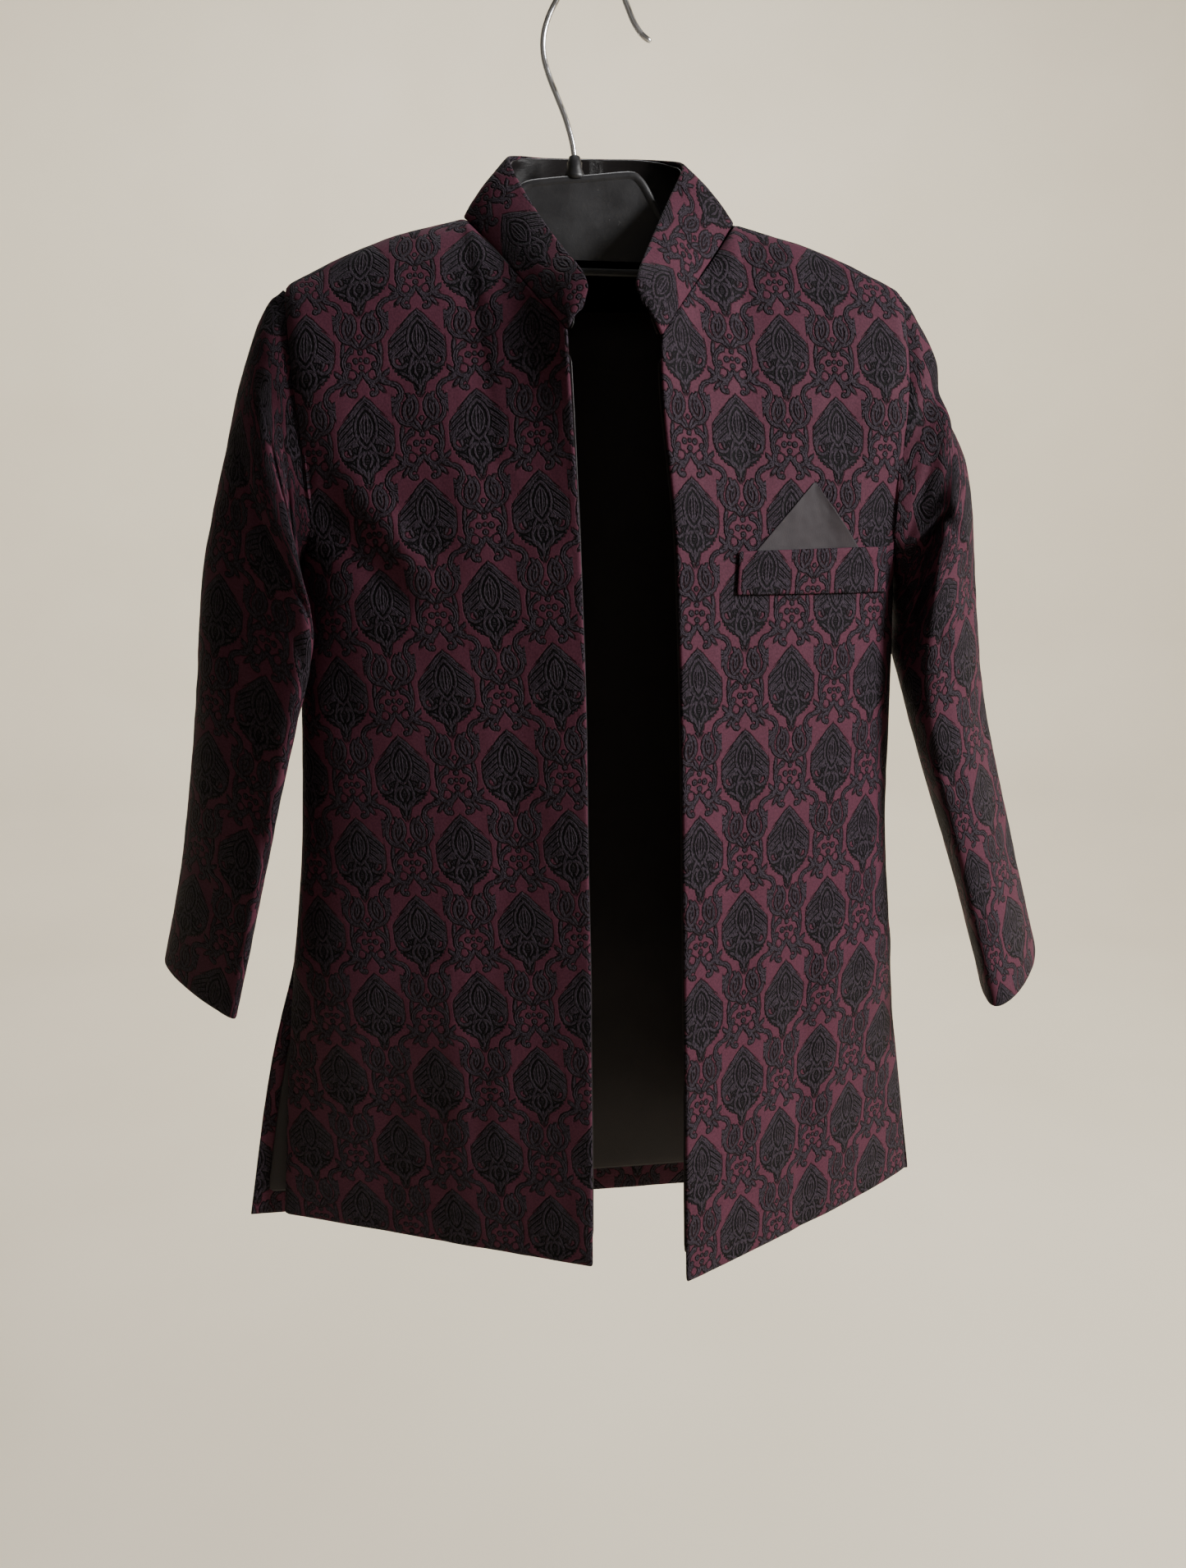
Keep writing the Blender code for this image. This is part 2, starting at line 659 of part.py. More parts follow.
def make_material(name, colour, roughness, metallic):
    material = bpy.data.materials.new(name)
    material.use_nodes = True
    shader = material.node_tree.nodes["Principled BSDF"]
    shader.inputs["Base Color"].default_value = (colour[0], colour[1], colour[2], 1)
    shader.inputs["Roughness"].default_value = roughness
    shader.inputs["Metallic"].default_value = metallic
    return material


def add_object(name, mesh, material):
    item = bpy.data.objects.new(name, mesh)
    part_group.objects.link(item)
    mesh.materials.append(material)
    return item


# Lining hangs a little freer beside the armholes
def near_armhole(share, row):
    side = max(hill(share - 0.93, 0.1), hill(share - 0.07, 0.1))
    return side * min(max(1.3 - row, 0), 0.5) / 0.5


# A wall of cloth: a flat block of cells is bent onto its form, from depth down to depth and thickness
def add_wall(name, form, side, shares, rows, layer, material, tube=False, slack=0):
    depth, thick = layer
    cells = bmesh.new()
    strips = len(shares) - 1
    steps = len(rows) - 1
    bmesh.ops.create_grid(cells, x_segments=strips, y_segments=steps, size=1.0)
    grown = bmesh.ops.extrude_face_region(cells, geom=list(cells.faces), use_keep_orig=True)
    inner = [item for item in grown["geom"] if isinstance(item, bmesh.types.BMVert)]
    bmesh.ops.translate(cells, verts=inner, vec=(0, 0, -1))
    bmesh.ops.recalc_face_normals(cells, faces=cells.faces)
    if side < 0:
        bmesh.ops.reverse_faces(cells, faces=cells.faces)
    if tube:
        ends = [face for face in cells.faces if abs(sum(vert.co.x for vert in face.verts)) > 3.999]
        bmesh.ops.delete(cells, geom=ends, context="FACES")
    row_ends = (rows[0], rows[-1])
    share_ends = (-1, 2) if tube else (shares[0], shares[-1])
    for vert in cells.verts:
        share = shares[round((vert.co.x + 1) / 2 * strips)]
        row = rows[round((vert.co.y + 1) / 2 * steps)]
        level = depth - vert.co.z * thick + slack * near_armhole(share, row)
        point = form(share, row) - outward(form, side, share, row, share_ends, row_ends) * level
        vert.co = Vector((point.x - HOOK_SIDE, point.y, point.z)) * MM
    if tube:
        bmesh.ops.remove_doubles(cells, verts=cells.verts, dist=0.00002)
    for face in cells.faces:
        face.smooth = True
    mesh = bpy.data.meshes.new(name)
    cells.to_mesh(mesh)
    cells.free()
    return add_object(name, mesh, material)


# Materials
brocade_right = make_material("brocade_front_right", (0.060, 0.012, 0.018), 0.75, 0)
brocade_left = make_material("brocade_front_left", (0.075, 0.016, 0.022), 0.75, 0)
brocade_back = make_material("brocade_back", (0.060, 0.012, 0.018), 0.75, 0)
brocade_sleeve_right = make_material("brocade_sleeve_right", (0.045, 0.010, 0.016), 0.75, 0)
brocade_sleeve_left = make_material("brocade_sleeve_left", (0.060, 0.013, 0.018), 0.75, 0)
brocade_collar = make_material("brocade_collar", (0.065, 0.014, 0.020), 0.75, 0)
brocade_welt = make_material("brocade_welt", (0.075, 0.016, 0.022), 0.75, 0)
satin_back = make_material("satin_back", (0.035, 0.028, 0.028), 0.45, 0)
satin_right = make_material("satin_right", (0.035, 0.028, 0.028), 0.45, 0)
satin_left = make_material("satin_left", (0.040, 0.032, 0.032), 0.45, 0)
satin_collar = make_material("satin_collar", (0.030, 0.025, 0.025), 0.45, 0)
satin_square = make_material("satin_square", (0.085, 0.070, 0.070), 0.40, 0)
black_plastic = make_material("black_plastic", (0.012, 0.012, 0.013), 0.45, 0)
chrome_wire = make_material("chrome_wire", (0.72, 0.72, 0.74), 0.15, 1)

# Brocade pieces
body_rows = UPPER_ROWS + LOWER_ROWS
sleeve_shares = [turn / 360 for turn in SLEEVE_TURNS]
cloth = (0, CLOTH)
add_wall("front_right", front_right_form, 1, FRONT_SHARES, body_rows, cloth, brocade_right)
add_wall("front_left", front_left_form, -1, FRONT_SHARES, body_rows, cloth, brocade_left)
add_wall("back", back_form, 1, BACK_SHARES, body_rows, cloth, brocade_back)
add_wall("sleeve_right", sleeve_right_form, -1, sleeve_shares, SLEEVE_ROWS, cloth, brocade_sleeve_right, True)
add_wall("sleeve_left", sleeve_left_form, 1, sleeve_shares, SLEEVE_ROWS, cloth, brocade_sleeve_left, True)
add_wall("collar", collar_form, -1, COLLAR_SHARES, COLLAR_ROWS, cloth, brocade_collar)

# Satin lining, just inside the brocade and short of its hem
lining_rows = UPPER_ROWS[2:] + LOWER_ROWS[:-1]
satin = (CLOTH + SEAM, SATIN)
add_wall("lining_front_right", lining_right_form, 1, FRONT_SHARES, lining_rows, satin, satin_right, slack=SLACK)
add_wall("lining_front_left", lining_left_form, -1, FRONT_SHARES, lining_rows, satin, satin_left, slack=SLACK)
add_wall("lining_back", back_form, 1, BACK_SHARES[1:-1], lining_rows, satin, satin_back, slack=SLACK)
inner_collar = (CLOTH + SEAM + COLLAR_SLACK, SATIN)
add_wall("collar_lining", collar_form, -1, COLLAR_SHARES, COLLAR_LINING_ROWS, inner_collar, satin_collar)

# Breast welt and folded square on the left front
welt = (-POCKET_GAP - WELT_THICK, WELT_THICK)
add_wall("pocket_welt", welt_form, -1, WELT_SHARES, [0, 0.5, 1.0], welt, brocade_welt)
square = (-SQUARE_GAP - SQUARE_THICK, SQUARE_THICK)
add_wall("pocket_square", square_form, -1, SQUARE_SHARES, [0, 0.35, 0.7, 1.0], square, satin_square)

# Hanger body: the outline made thick, with a sunk field inside a raised rim on both faces
plate = bmesh.new()
ring = []
for x, z in PLATE_OUTLINE:
    ring.append(plate.verts.new(((x - HOOK_SIDE) * MM, -PLATE_THICK / 2 * MM, z * MM)))
face = plate.faces.new(ring)
grown = bmesh.ops.extrude_face_region(plate, geom=[face], use_keep_orig=True)
moved = [item for item in grown["geom"] if isinstance(item, bmesh.types.BMVert)]
bmesh.ops.translate(plate, verts=moved, vec=(0, PLATE_THICK * MM, 0))
bmesh.ops.recalc_face_normals(plate, faces=plate.faces)
rim_edges = [edge for edge in plate.edges if abs(edge.verts[0].co.y - edge.verts[1].co.y) < MM]
bmesh.ops.bevel(
    plate,
    geom=rim_edges,
    offset=PLATE_ROUND * MM,
    offset_type="OFFSET",
    affect="EDGES",
    segments=2,
    profile=0.5,
    material=-1,
)
for field in [item for item in plate.faces if len(item.verts) > 20]:
    bmesh.ops.inset_region(plate, faces=[field], thickness=PLATE_RIM * MM, use_even_offset=True)
    way = Vector((0, -field.normal.y, 0))
    bmesh.ops.translate(plate, verts=list(field.verts), vec=way * (PLATE_THICK - PLATE_WEB) / 2 * MM)
plate_mesh = bpy.data.meshes.new("hanger_body")
plate.to_mesh(plate_mesh)
plate.free()
add_object("hanger_body", plate_mesh, black_plastic)

# Hook wire
wire_curve = bpy.data.curves.new("hanger_hook", "CURVE")
wire_curve.dimensions = "3D"
wire_curve.bevel_depth = WIRE / 2 * MM
wire_curve.bevel_resolution = 2
wire_curve.use_fill_caps = True
line_steps = 34
line_keys = [(float(number),) + point for number, point in enumerate(HOOK_PATH)]
spline = wire_curve.splines.new("POLY")
spline.points.add(line_steps)
for number in range(line_steps + 1):
    point = smooth_point(line_keys, number / line_steps * (len(HOOK_PATH) - 1))
    spline.points[number].co = ((point.x - HOOK_SIDE) * MM, point.y * MM, point.z * MM, 1)
hook_item = bpy.data.objects.new("hanger_hook", wire_curve)
part_group.objects.link(hook_item)
wire_curve.materials.append(chrome_wire)
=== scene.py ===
import math
from functools import partial

import bmesh
import bpy
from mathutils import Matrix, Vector, noise


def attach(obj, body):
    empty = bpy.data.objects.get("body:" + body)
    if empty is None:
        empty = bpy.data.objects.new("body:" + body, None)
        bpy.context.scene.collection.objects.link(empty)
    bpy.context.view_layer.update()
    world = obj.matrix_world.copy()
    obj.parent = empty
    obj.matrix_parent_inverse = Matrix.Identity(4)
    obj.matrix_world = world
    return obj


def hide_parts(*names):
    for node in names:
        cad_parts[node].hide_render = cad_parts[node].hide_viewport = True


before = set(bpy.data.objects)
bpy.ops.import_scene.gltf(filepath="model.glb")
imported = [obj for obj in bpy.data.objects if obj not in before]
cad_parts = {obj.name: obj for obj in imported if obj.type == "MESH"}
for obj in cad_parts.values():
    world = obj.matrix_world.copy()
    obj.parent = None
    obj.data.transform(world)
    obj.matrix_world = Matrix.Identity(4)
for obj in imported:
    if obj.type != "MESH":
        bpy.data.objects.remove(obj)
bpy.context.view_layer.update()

# Lengths are in millimetres unless a name says metres; x runs to the wearer's left, y to the back, z up
mm = 0.001
hookSide = 8.5  # the forms count x from the foot of the hook wire, the frame from its bend
chestZ = -256.0
neckShare = 0.33
tipShare = 0.8
backTip = 0.15
backNeck = 0.36


# Smooth lines through short tables
def rowSlope(table, row, column):
    before = table[max(row - 1, 0)]
    after = table[min(row + 1, len(table) - 1)]
    return (after[column] - before[column]) / (after[0] - before[0])


def smoothRow(table, key):
    row = 0
    while row < len(table) - 2 and key > table[row + 1][0]:
        row += 1
    low = table[row]
    high = table[row + 1]
    span = high[0] - low[0]
    part = (key - low[0]) / span
    near = 2 * part ** 3 - 3 * part ** 2 + 1
    leave = (part ** 3 - 2 * part ** 2 + part) * span
    arrive = (part ** 3 - part ** 2) * span
    values = []
    for column in range(1, len(low)):
        value = near * low[column] + (1 - near) * high[column]
        value += leave * rowSlope(table, row, column) + arrive * rowSlope(table, row + 1, column)
        values.append(value)
    return values


def smoothPoint(table, key):
    return Vector(smoothRow(table, key))


def fallingRow(table, z):
    flipped = [(-row[0],) + tuple(row[1:]) for row in table]
    return smoothRow(flipped, min(max(-z, flipped[0][0]), flipped[-1][0]))


def bezier(start, first, second, end, part):
    rest = 1 - part
    near = start * rest ** 3 + first * 3 * rest ** 2 * part
    return near + second * 3 * rest * part ** 2 + end * part ** 3


def hill(distance, width):
    return math.exp(-(distance / width) ** 2)


def clamp(value, low=0.0, high=1.0):
    return min(max(value, low), high)


def spread(start, end, count):
    return [start + (end - start) * number / count for number in range(count + 1)]


# Collar
collar = {
    # share round the neck, x, y, z
    "foot": [
        (0, -8.5, -46, -152), (0.09, -17.7, -36, -139.8), (0.17, -27, -25, -126.9),
        (0.25, -37.5, -12, -112.6), (0.3, -45.5, -4.5, -102.8), (0.33, -48.5, 0, -99.5),
        (0.37, -43, 8, -99.8), (0.43, -20, 14.5, -102), (0.5, 11, 17, -103), (0.57, 42, 15, -101),
        (0.63, 65.5, 8.5, -98.8), (0.67, 71, 0, -98.4), (0.7, 68, -4.5, -102.6),
        (0.75, 60.6, -12, -113.5), (0.83, 49.8, -25, -128.2), (0.91, 40.7, -36, -140.4),
        (1, 31.4, -46, -153.7),
    ],
    "top": [
        (0, -1.5, -45.3, -144.5), (0.03, 0.7, -45, -135.5), (0.07, -2.2, -41.5, -127.4),
        (0.12, -7.2, -32, -118.7), (0.19, -14.7, -21, -105.4), (0.26, -22.4, -11, -90.8),
        (0.33, -28.6, -3.5, -76.3), (0.37, -26, 6.5, -71.6), (0.43, -12.9, 14.5, -70),
        (0.5, 9.3, 17, -69), (0.57, 31.6, 16, -68.7), (0.63, 44.5, 7.5, -71), (0.67, 47.1, -3.5, -75.8),
        (0.74, 40.7, -11.5, -89.4), (0.81, 33.8, -21.5, -103), (0.88, 27, -32, -116.8),
        (0.93, 22.8, -41, -126), (0.97, 20.4, -45, -134.2), (1, 22.6, -45.3, -142),
    ],
    "bulge": 1.5,
    "seam": 0.05,
    "thick": 1.8,
    "across": 110,
    "down": 16,
}


def neckline(share):
    foot = smoothPoint(collar["foot"], share)
    top = smoothPoint(collar["top"], share)
    return foot - (top - foot).normalized() * collar["seam"]


def collarForm(share, row):
    foot = smoothPoint(collar["foot"], share)
    top = smoothPoint(collar["top"], share)
    ahead = smoothPoint(collar["foot"], min(share + 0.01, 1))
    behind = smoothPoint(collar["foot"], max(share - 0.01, 0))
    out = (top - foot).cross(ahead - behind).normalized()
    return foot + (top - foot) * row + out * collar["bulge"] * math.sin(math.pi * row)


# Fronts: shoulder and armhole as share, x, y, z; section as z, edge x, y, turn, side x, y, turn
frontRight = {
    "hand": -1,
    "shoulder": [
        (0.33, -48.5, 0, -99.8), (0.56, -86.8, 0, -111.2), (0.8, -125.5, 0, -129.8),
    ],
    "armhole": [
        (0.8, -125.5, 0, -129.8), (0.835, -123.5, -8, -150), (0.87, -121, -14, -173.5),
        (0.9, -117.5, -18, -205), (0.93, -116.5, -19, -230.5), (0.965, -120.3, -13, -242),
        (0.985, -123.2, -8.2, -245.3), (1, -123.5, -4, -247),
    ],
    "section": [
        (-256, -3, -51.5, 16, -123.5, -4, 89), (-310, -1.5, -53.5, 17, -125, -4, 89),
        (-370, -1, -55.5, 18.5, -127.5, -3, 89), (-415, -0.2, -56.6, 20, -132, -1.5, 89),
        (-430, 0, -57, 20.5, -134, -1, 89), (-465, 0, -58, 22, -137.6, -0.5, 60),
        (-500, 0.3, -59, 23, -140.8, 1.5, 40), (-563, 0.5, -60, 24, -145.4, 5.2, 25),
    ],
    # share, z, width in share, width in z, height
    "waves": [
        (0.3, -360, 0.12, 90, 1.2), (0.62, -480, 0.1, 80, -1.4), (0.5, -215, 0.12, 40, -1.2),
    ],
    # creases: from x, z to x, z, width, height towards the back
    "creases": [
        (-113, -214, -78, -262, 5, 3.6), (-104, -204, -70, -250, 6, -3.2),
        (-118, -262, -96, -330, 7, 1), (-60, -150, -92, -190, 9, 0.8), (-30, -400, -46, -548, 10, -1),
        (-84, -430, -96, -560, 9, 1.1),
    ],
    "hemZ": -563.0,
    "thick": 1.8,
    "across": 56,
    "down": (36, 72),
}
frontLeft = {
    "hand": 1,
    "shoulder": [
        (0.33, 71, 0, -98.7), (0.56, 110, 0, -109.5), (0.8, 148.6, 0, -125.5),
    ],
    "armhole": [
        (0.8, 148.6, 0, -125.5), (0.835, 149.6, -8, -146), (0.87, 149.6, -13, -168),
        (0.9, 146.2, -16, -200), (0.93, 144.5, -16.5, -230), (0.965, 147.2, -10, -241),
        (0.985, 150.2, -4.6, -245), (1, 150.5, 0, -247),
    ],
    "section": [
        (-256, 37.5, -55, 20, 150.5, 0, 89), (-310, 38.7, -60, 22, 151.5, 0.5, 89),
        (-370, 39.3, -65, 24, 152.8, 2.5, 89), (-415, 39.8, -68.1, 26, 156.7, 4.1, 89),
        (-430, 40, -69, 27, 158.5, 4.5, 89), (-465, 40.4, -71.5, 29, 162.6, 6.5, 70),
        (-500, 40.8, -73.5, 30, 168.2, 9, 55), (-563, 41.3, -77, 31, 178, 13.5, 42),
    ],
    "waves": [
        (0.72, -470, 0.1, 90, 1.8), (0.4, -420, 0.12, 90, -1.2), (0.3, -300, 0.14, 60, 1),
    ],
    "creases": [
        (148, -226, 128, -262, 5, 1.6), (96, -150, 122, -192, 9, 0.8), (62, -330, 74, -470, 10, 0.9),
        (112, -400, 124, -556, 9, -1.2), (146, -300, 150, -420, 8, 1.2),
    ],
    "hemZ": -563.0,
    "thick": 1.8,
    "across": 56,
    "down": (36, 72),
}
frontShape = {
    # where a share of the top line lands on the chest section
    "landing": [(0.0, 0.0), (0.33, 0.20), (0.8, 0.46), (0.87, 0.64), (0.93, 0.82), (1.0, 1.0)],
    # share, sideways, back, up, reach
    "leave": [
        (0, 0.03, -0.1, -1, 40), (0.165, 0.15, -0.4, -0.9, 28), (0.33, 0.05, -0.95, -0.3, 16),
        (0.45, 0, -1, -0.03, 16), (0.8, 0, -1, -0.03, 16), (0.87, -0.15, -0.4, -0.9, 16),
        (0.93, -0.05, 0, -1, 8), (1, 0, 0, -1, 2.5),
    ],
    "ridge": 0.2,
}


def frontSection(piece, share, z):
    edgeX, edgeY, edgeTurn, sideX, sideY, sideTurn = fallingRow(piece["section"], z)
    edge = Vector((edgeX, edgeY, z))
    side = Vector((sideX, sideY, z))
    chord = (side - edge).length
    hand = piece["hand"]
    edgeWay = Vector((hand * math.cos(math.radians(edgeTurn)), math.sin(math.radians(edgeTurn)), 0))
    sideWay = Vector((hand * math.cos(math.radians(sideTurn)), math.sin(math.radians(sideTurn)), 0))
    return bezier(edge, edge + edgeWay * 0.4 * chord, side - sideWay * 0.2 * chord, side, share)


def frontTop(piece, share):
    if share <= neckShare:
        point = neckline(share if piece["hand"] < 0 else 1 - share)
    elif share <= tipShare:
        point = smoothPoint(piece["shoulder"], share)
    else:
        point = smoothPoint(piece["armhole"], share)
    if share < tipShare + 0.03:
        point.y = min(point.y, -frontShape["ridge"])
    return point


def waveHeight(waves, share, z):
    total = 0
    for waveShare, waveZ, shareWidth, zWidth, height in waves:
        total += height * hill(share - waveShare, shareWidth) * hill(z - waveZ, zWidth)
    return total


def creaseHeight(creases, x, z):
    total = 0
    for startX, startZ, endX, endZ, width, height in creases:
        runX = endX - startX
        runZ = endZ - startZ
        along = ((x - startX) * runX + (z - startZ) * runZ) / (runX * runX + runZ * runZ)
        near = clamp(along)
        off = math.hypot(x - startX - runX * near, z - startZ - runZ * near)
        total += height * hill(off, width) * math.sin(math.pi * clamp(0.15 + 0.7 * near))
    return total


def frontForm(piece, share, row):
    landing = smoothRow(frontShape["landing"], share)[0]
    if row <= 1:
        start = frontTop(piece, share)
        sideStep, backStep, upStep, reach = smoothRow(frontShape["leave"], share)
        way = Vector((-piece["hand"] * sideStep, backStep, upStep)).normalized()
        end = frontSection(piece, landing, chestZ)
        below = frontSection(piece, landing, chestZ - 6)
        up = (end - below).normalized()
        point = bezier(start, start + way * reach, end + up * 0.45 * (end - start).length, end, row)
    else:
        point = frontSection(piece, landing, chestZ + (piece["hemZ"] - chestZ) * (row - 1))
    point.y += waveHeight(piece["waves"], share, point.z)
    point.y += creaseHeight(piece["creases"], point.x, point.z) * clamp(row * 3)
    return point


frontRightForm = partial(frontForm, frontRight)
frontLeftForm = partial(frontForm, frontLeft)


# Back
back = {
    "rightArmhole": [
        (0, -123.5, -3.6, -247), (0.02, -123.3, 2.5, -242.5), (0.05, -121.5, 8, -231),
        (0.1, -123, 11.5, -190), (0.125, -124.5, 9, -152), (0.15, -125.5, 0, -129.8),
    ],
    "leftArmhole": [
        (0.85, 148.6, 0, -125.5), (0.875, 151, 9, -150), (0.9, 152.5, 12, -190),
        (0.95, 149.2, 9.5, -232), (0.98, 150.4, 5.5, -242.5), (1, 150.5, 0.4, -247),
    ],
    # z, right side x and y, left side x and y, depth behind the sides, squareness
    "section": [
        (-256, -123.5, -3.6, 150.5, 0.4, 12, 5), (-310, -125, -3.6, 151.5, 0.9, 12, 5),
        (-370, -127.5, -2.6, 152.8, 2.9, 11, 4.5), (-415, -132, -1.1, 156.7, 4.5, 9.5, 4),
        (-430, -134, -0.4, 158.5, 5.1, 9, 3.6), (-465, -143.5, 5, 163.7, 10.2, 6, 3),
        (-500, -151.5, 9.5, 169.8, 14, 3, 2.4), (-566, -162.5, 13.5, 180.5, 19.5, 0.3, 2),
    ],
    "landing": [
        (0, 0), (0.05, 0.106), (0.1, 0.19), (0.15, 0.26), (0.36, 0.4), (0.5, 0.5), (0.64, 0.6),
        (0.85, 0.74), (0.9, 0.81), (0.95, 0.894), (1, 1),
    ],
    "leave": [
        (0, 0, 0, -1, 2.5), (0.05, 0.05, 0, -1, 8), (0.1, 0.1, 0.1, -1, 16), (0.15, 0, 1, -0.03, 16),
        (0.33, 0, 1, -0.03, 16), (0.36, 0, 0.95, -0.3, 16), (0.42, 0, 0.3, -0.95, 24),
        (0.58, 0, 0.3, -0.95, 24), (0.64, 0, 0.95, -0.3, 16), (0.67, 0, 1, -0.03, 16),
        (0.85, 0, 1, -0.03, 16), (0.9, -0.1, 0.1, -1, 16), (0.95, -0.05, 0, -1, 8), (1, 0, 0, -1, 2.5),
    ],
    "waves": [
        (0.3, -380, 0.08, 120, 1.6), (0.66, -450, 0.08, 110, 1.8), (0.5, -250, 0.1, 70, -1.2),
    ],
    "hemZ": -566.0,
    "thick": 1.8,
    "across": 96,
    "down": (36, 72),
}


def backSection(share, z):
    rightX, rightY, leftX, leftY, depth, square = fallingRow(back["section"], z)
    side = math.sin(math.pi / 2 * (2 * share - 1))
    roundOff = max(1 - abs(side) ** square, 0) ** (1 / square)
    base = rightY + (leftY - rightY) * (side + 1) / 2
    return Vector(((rightX + leftX) / 2 + (leftX - rightX) / 2 * side, base + depth * roundOff, z))


def backTop(share):
    if share < backTip:
        point = smoothPoint(back["rightArmhole"], share)
    elif share > 1 - backTip:
        point = smoothPoint(back["leftArmhole"], share)
    elif share < backNeck:
        part = (share - backTip) / (backNeck - backTip)
        point = smoothPoint(frontRight["shoulder"], tipShare + (neckShare - tipShare) * part)
    elif share > 1 - backNeck:
        part = (1 - backTip - share) / (backNeck - backTip)
        point = smoothPoint(frontLeft["shoulder"], tipShare + (neckShare - tipShare) * part)
    else:
        part = (share - backNeck) / (1 - 2 * backNeck)
        point = neckline(neckShare + (1 - 2 * neckShare) * part)
    if backTip - 0.02 < share < 1 - backTip + 0.02:
        point.y = max(point.y, frontShape["ridge"])
    return point


def backForm(share, row):
    landing = clamp(smoothRow(back["landing"], share)[0])
    if row <= 1:
        start = backTop(share)
        sideStep, backStep, upStep, reach = smoothRow(back["leave"], share)
        way = Vector((sideStep, backStep, upStep)).normalized()
        end = backSection(landing, chestZ)
        below = backSection(landing, chestZ - 6)
        up = (end - below).normalized()
        point = bezier(start, start + way * reach, end + up * 0.45 * (end - start).length, end, row)
    else:
        point = backSection(landing, chestZ + (back["hemZ"] - chestZ) * (row - 1))
    point.y += waveHeight(back["waves"], share, point.z) * math.sin(math.pi * share)
    return point


# Sleeves: rings below the armhole, each with its outer, front, inner and back point
sleeveRight = {
    "hand": -1,
    "rings": [
        (-142, 3, -158, -127, -19, -205, -126, -3, -260, -138, 22, -200),
        (-154.5, 5, -202, -122.5, -30, -240, -128, -2, -275, -146, 28, -235),
        (-165.8, 7, -252, -119.5, -33, -272, -133, 0, -295, -154, 32, -264),
        (-172.8, 10, -310, -131.5, -30, -325, -143, 4, -335, -163, 37, -322),
        (-185.2, 22, -385, -149, -22, -394, -156.5, 9, -400, -179, 45, -392),
        (-201.3, 37, -443, -164.5, -12, -452.5, -168, 12, -451, -189, 55, -446),
    ],
    # turn in degrees, row, width in degrees, width in rows, height
    "folds": [
        (90, 4, 16, 2.6, 2.6), (0, 0.34, 60, 0.46, 3.3), (75, 1.6, 22, 0.9, -2.4),
        (35, 2.2, 28, 0.7, -2.2), (60, 3.4, 26, 0.8, -2), (300, 3, 30, 0.8, -2.2),
        (210, 3.6, 26, 0.8, -1.8),
    ],
    # small creases: turn, row, reach in degrees, lean in rows per degree, width in rows, height
    "creases": [
        (116, 0.95, 22, 0.006, 0.1, -1.4), (116, 1.16, 20, 0.006, 0.1, 1),
        (112, 1.38, 18, 0.008, 0.08, -0.9), (122, 2.2, 9, 0, 0.9, 1.4),
        (100, 1.62, 30, 0.01, 0.09, -1.8), (55, 2.3, 34, 0.012, 0.12, -1.4),
        (90, 2.75, 26, 0.012, 0.09, -1.7), (95, 3.35, 24, 0.012, 0.08, -1.3),
        (60, 3.9, 30, 0.012, 0.1, -1.2), (85, 4.55, 24, 0.012, 0.09, -1.2),
        (60, 5.25, 26, 0.008, 0.09, -0.9), (300, 2.4, 34, -0.01, 0.12, -1.4),
        (285, 3.5, 34, -0.01, 0.12, -1.3), (310, 4.6, 28, -0.01, 0.1, -1.1),
        (225, 1.5, 26, 0.006, 0.12, -1.6),
    ],
    "thick": 1.8,
    "around": 84,
    "down": 120,
}
sleeveLeft = {
    "hand": 1,
    "rings": [
        (168, 4, -153, 167, -20, -205, 151.8, -3, -258, 166, 22, -198),
        (188, 8, -205, 167, -26.5, -236, 153, -3, -272, 178, 29, -228),
        (196.5, 10, -258, 167, -28, -270, 154, -2, -292, 187, 33, -264),
        (206, 14, -312, 173, -26, -322, 165, 0, -330, 197, 38, -318),
        (228, 20, -385, 191, -26, -393, 190, 4, -398, 218, 46, -388),
        (249.5, 28, -449, 207, -28, -457.5, 209.5, 8, -456, 238, 50, -450),
    ],
    "folds": [
        (120, 4.4, 16, 2, 2.4), (15, 1.25, 50, 0.34, -5.6), (330, 1.35, 40, 0.34, -4),
        (0, 0.22, 50, 0.18, 1.6), (140, 2.3, 24, 0.75, -6), (212, 1.5, 28, 0.6, 3.5),
        (212, 2.7, 28, 0.7, 5), (60, 3.1, 30, 0.5, -1.8), (290, 3.2, 30, 0.8, -2.2),
        (40, 4.6, 26, 0.6, -1.8),
    ],
    "creases": [
        (50, 0.82, 26, -0.016, 0.26, -4), (100, 1.5, 28, -0.025, 0.12, -3.2),
        (100, 1.24, 28, -0.025, 0.16, 2.2), (108, 2.4, 9, 0, 0.8, 1.6), (60, 1.3, 26, -0.01, 0.1, -1.3),
        (100, 0.55, 20, -0.008, 0.12, -1.4), (78, 2.35, 26, -0.01, 0.11, -1.2),
        (60, 2.75, 34, -0.01, 0.12, -1.1), (95, 3.25, 24, -0.01, 0.09, -1.3),
        (70, 3.75, 30, -0.01, 0.1, -1.2), (110, 4.25, 26, -0.008, 0.09, -1.3),
        (70, 5.1, 26, -0.008, 0.09, -0.9), (300, 2.2, 34, 0.01, 0.12, -1.4),
        (280, 3.8, 34, 0.01, 0.12, -1.3), (225, 1.4, 26, -0.006, 0.12, -1.6),
    ],
    "thick": 1.8,
    "around": 84,
    "down": 120,
}
armholeSeam = 0.03


def armholePoint(piece, turn):
    right = piece["hand"] < 0
    if turn <= 180:
        table = frontRight["armhole"] if right else frontLeft["armhole"]
        point = smoothPoint(table, tipShare + (1 - tipShare) * turn / 180)
    else:
        share = backTip * (turn - 180) / 180
        table = back["rightArmhole"] if right else back["leftArmhole"]
        point = smoothPoint(table, share if right else 1 - share)
    point.x += piece["hand"] * (armholeSeam + 0.1 * hill(turn - 104, 16))
    return point


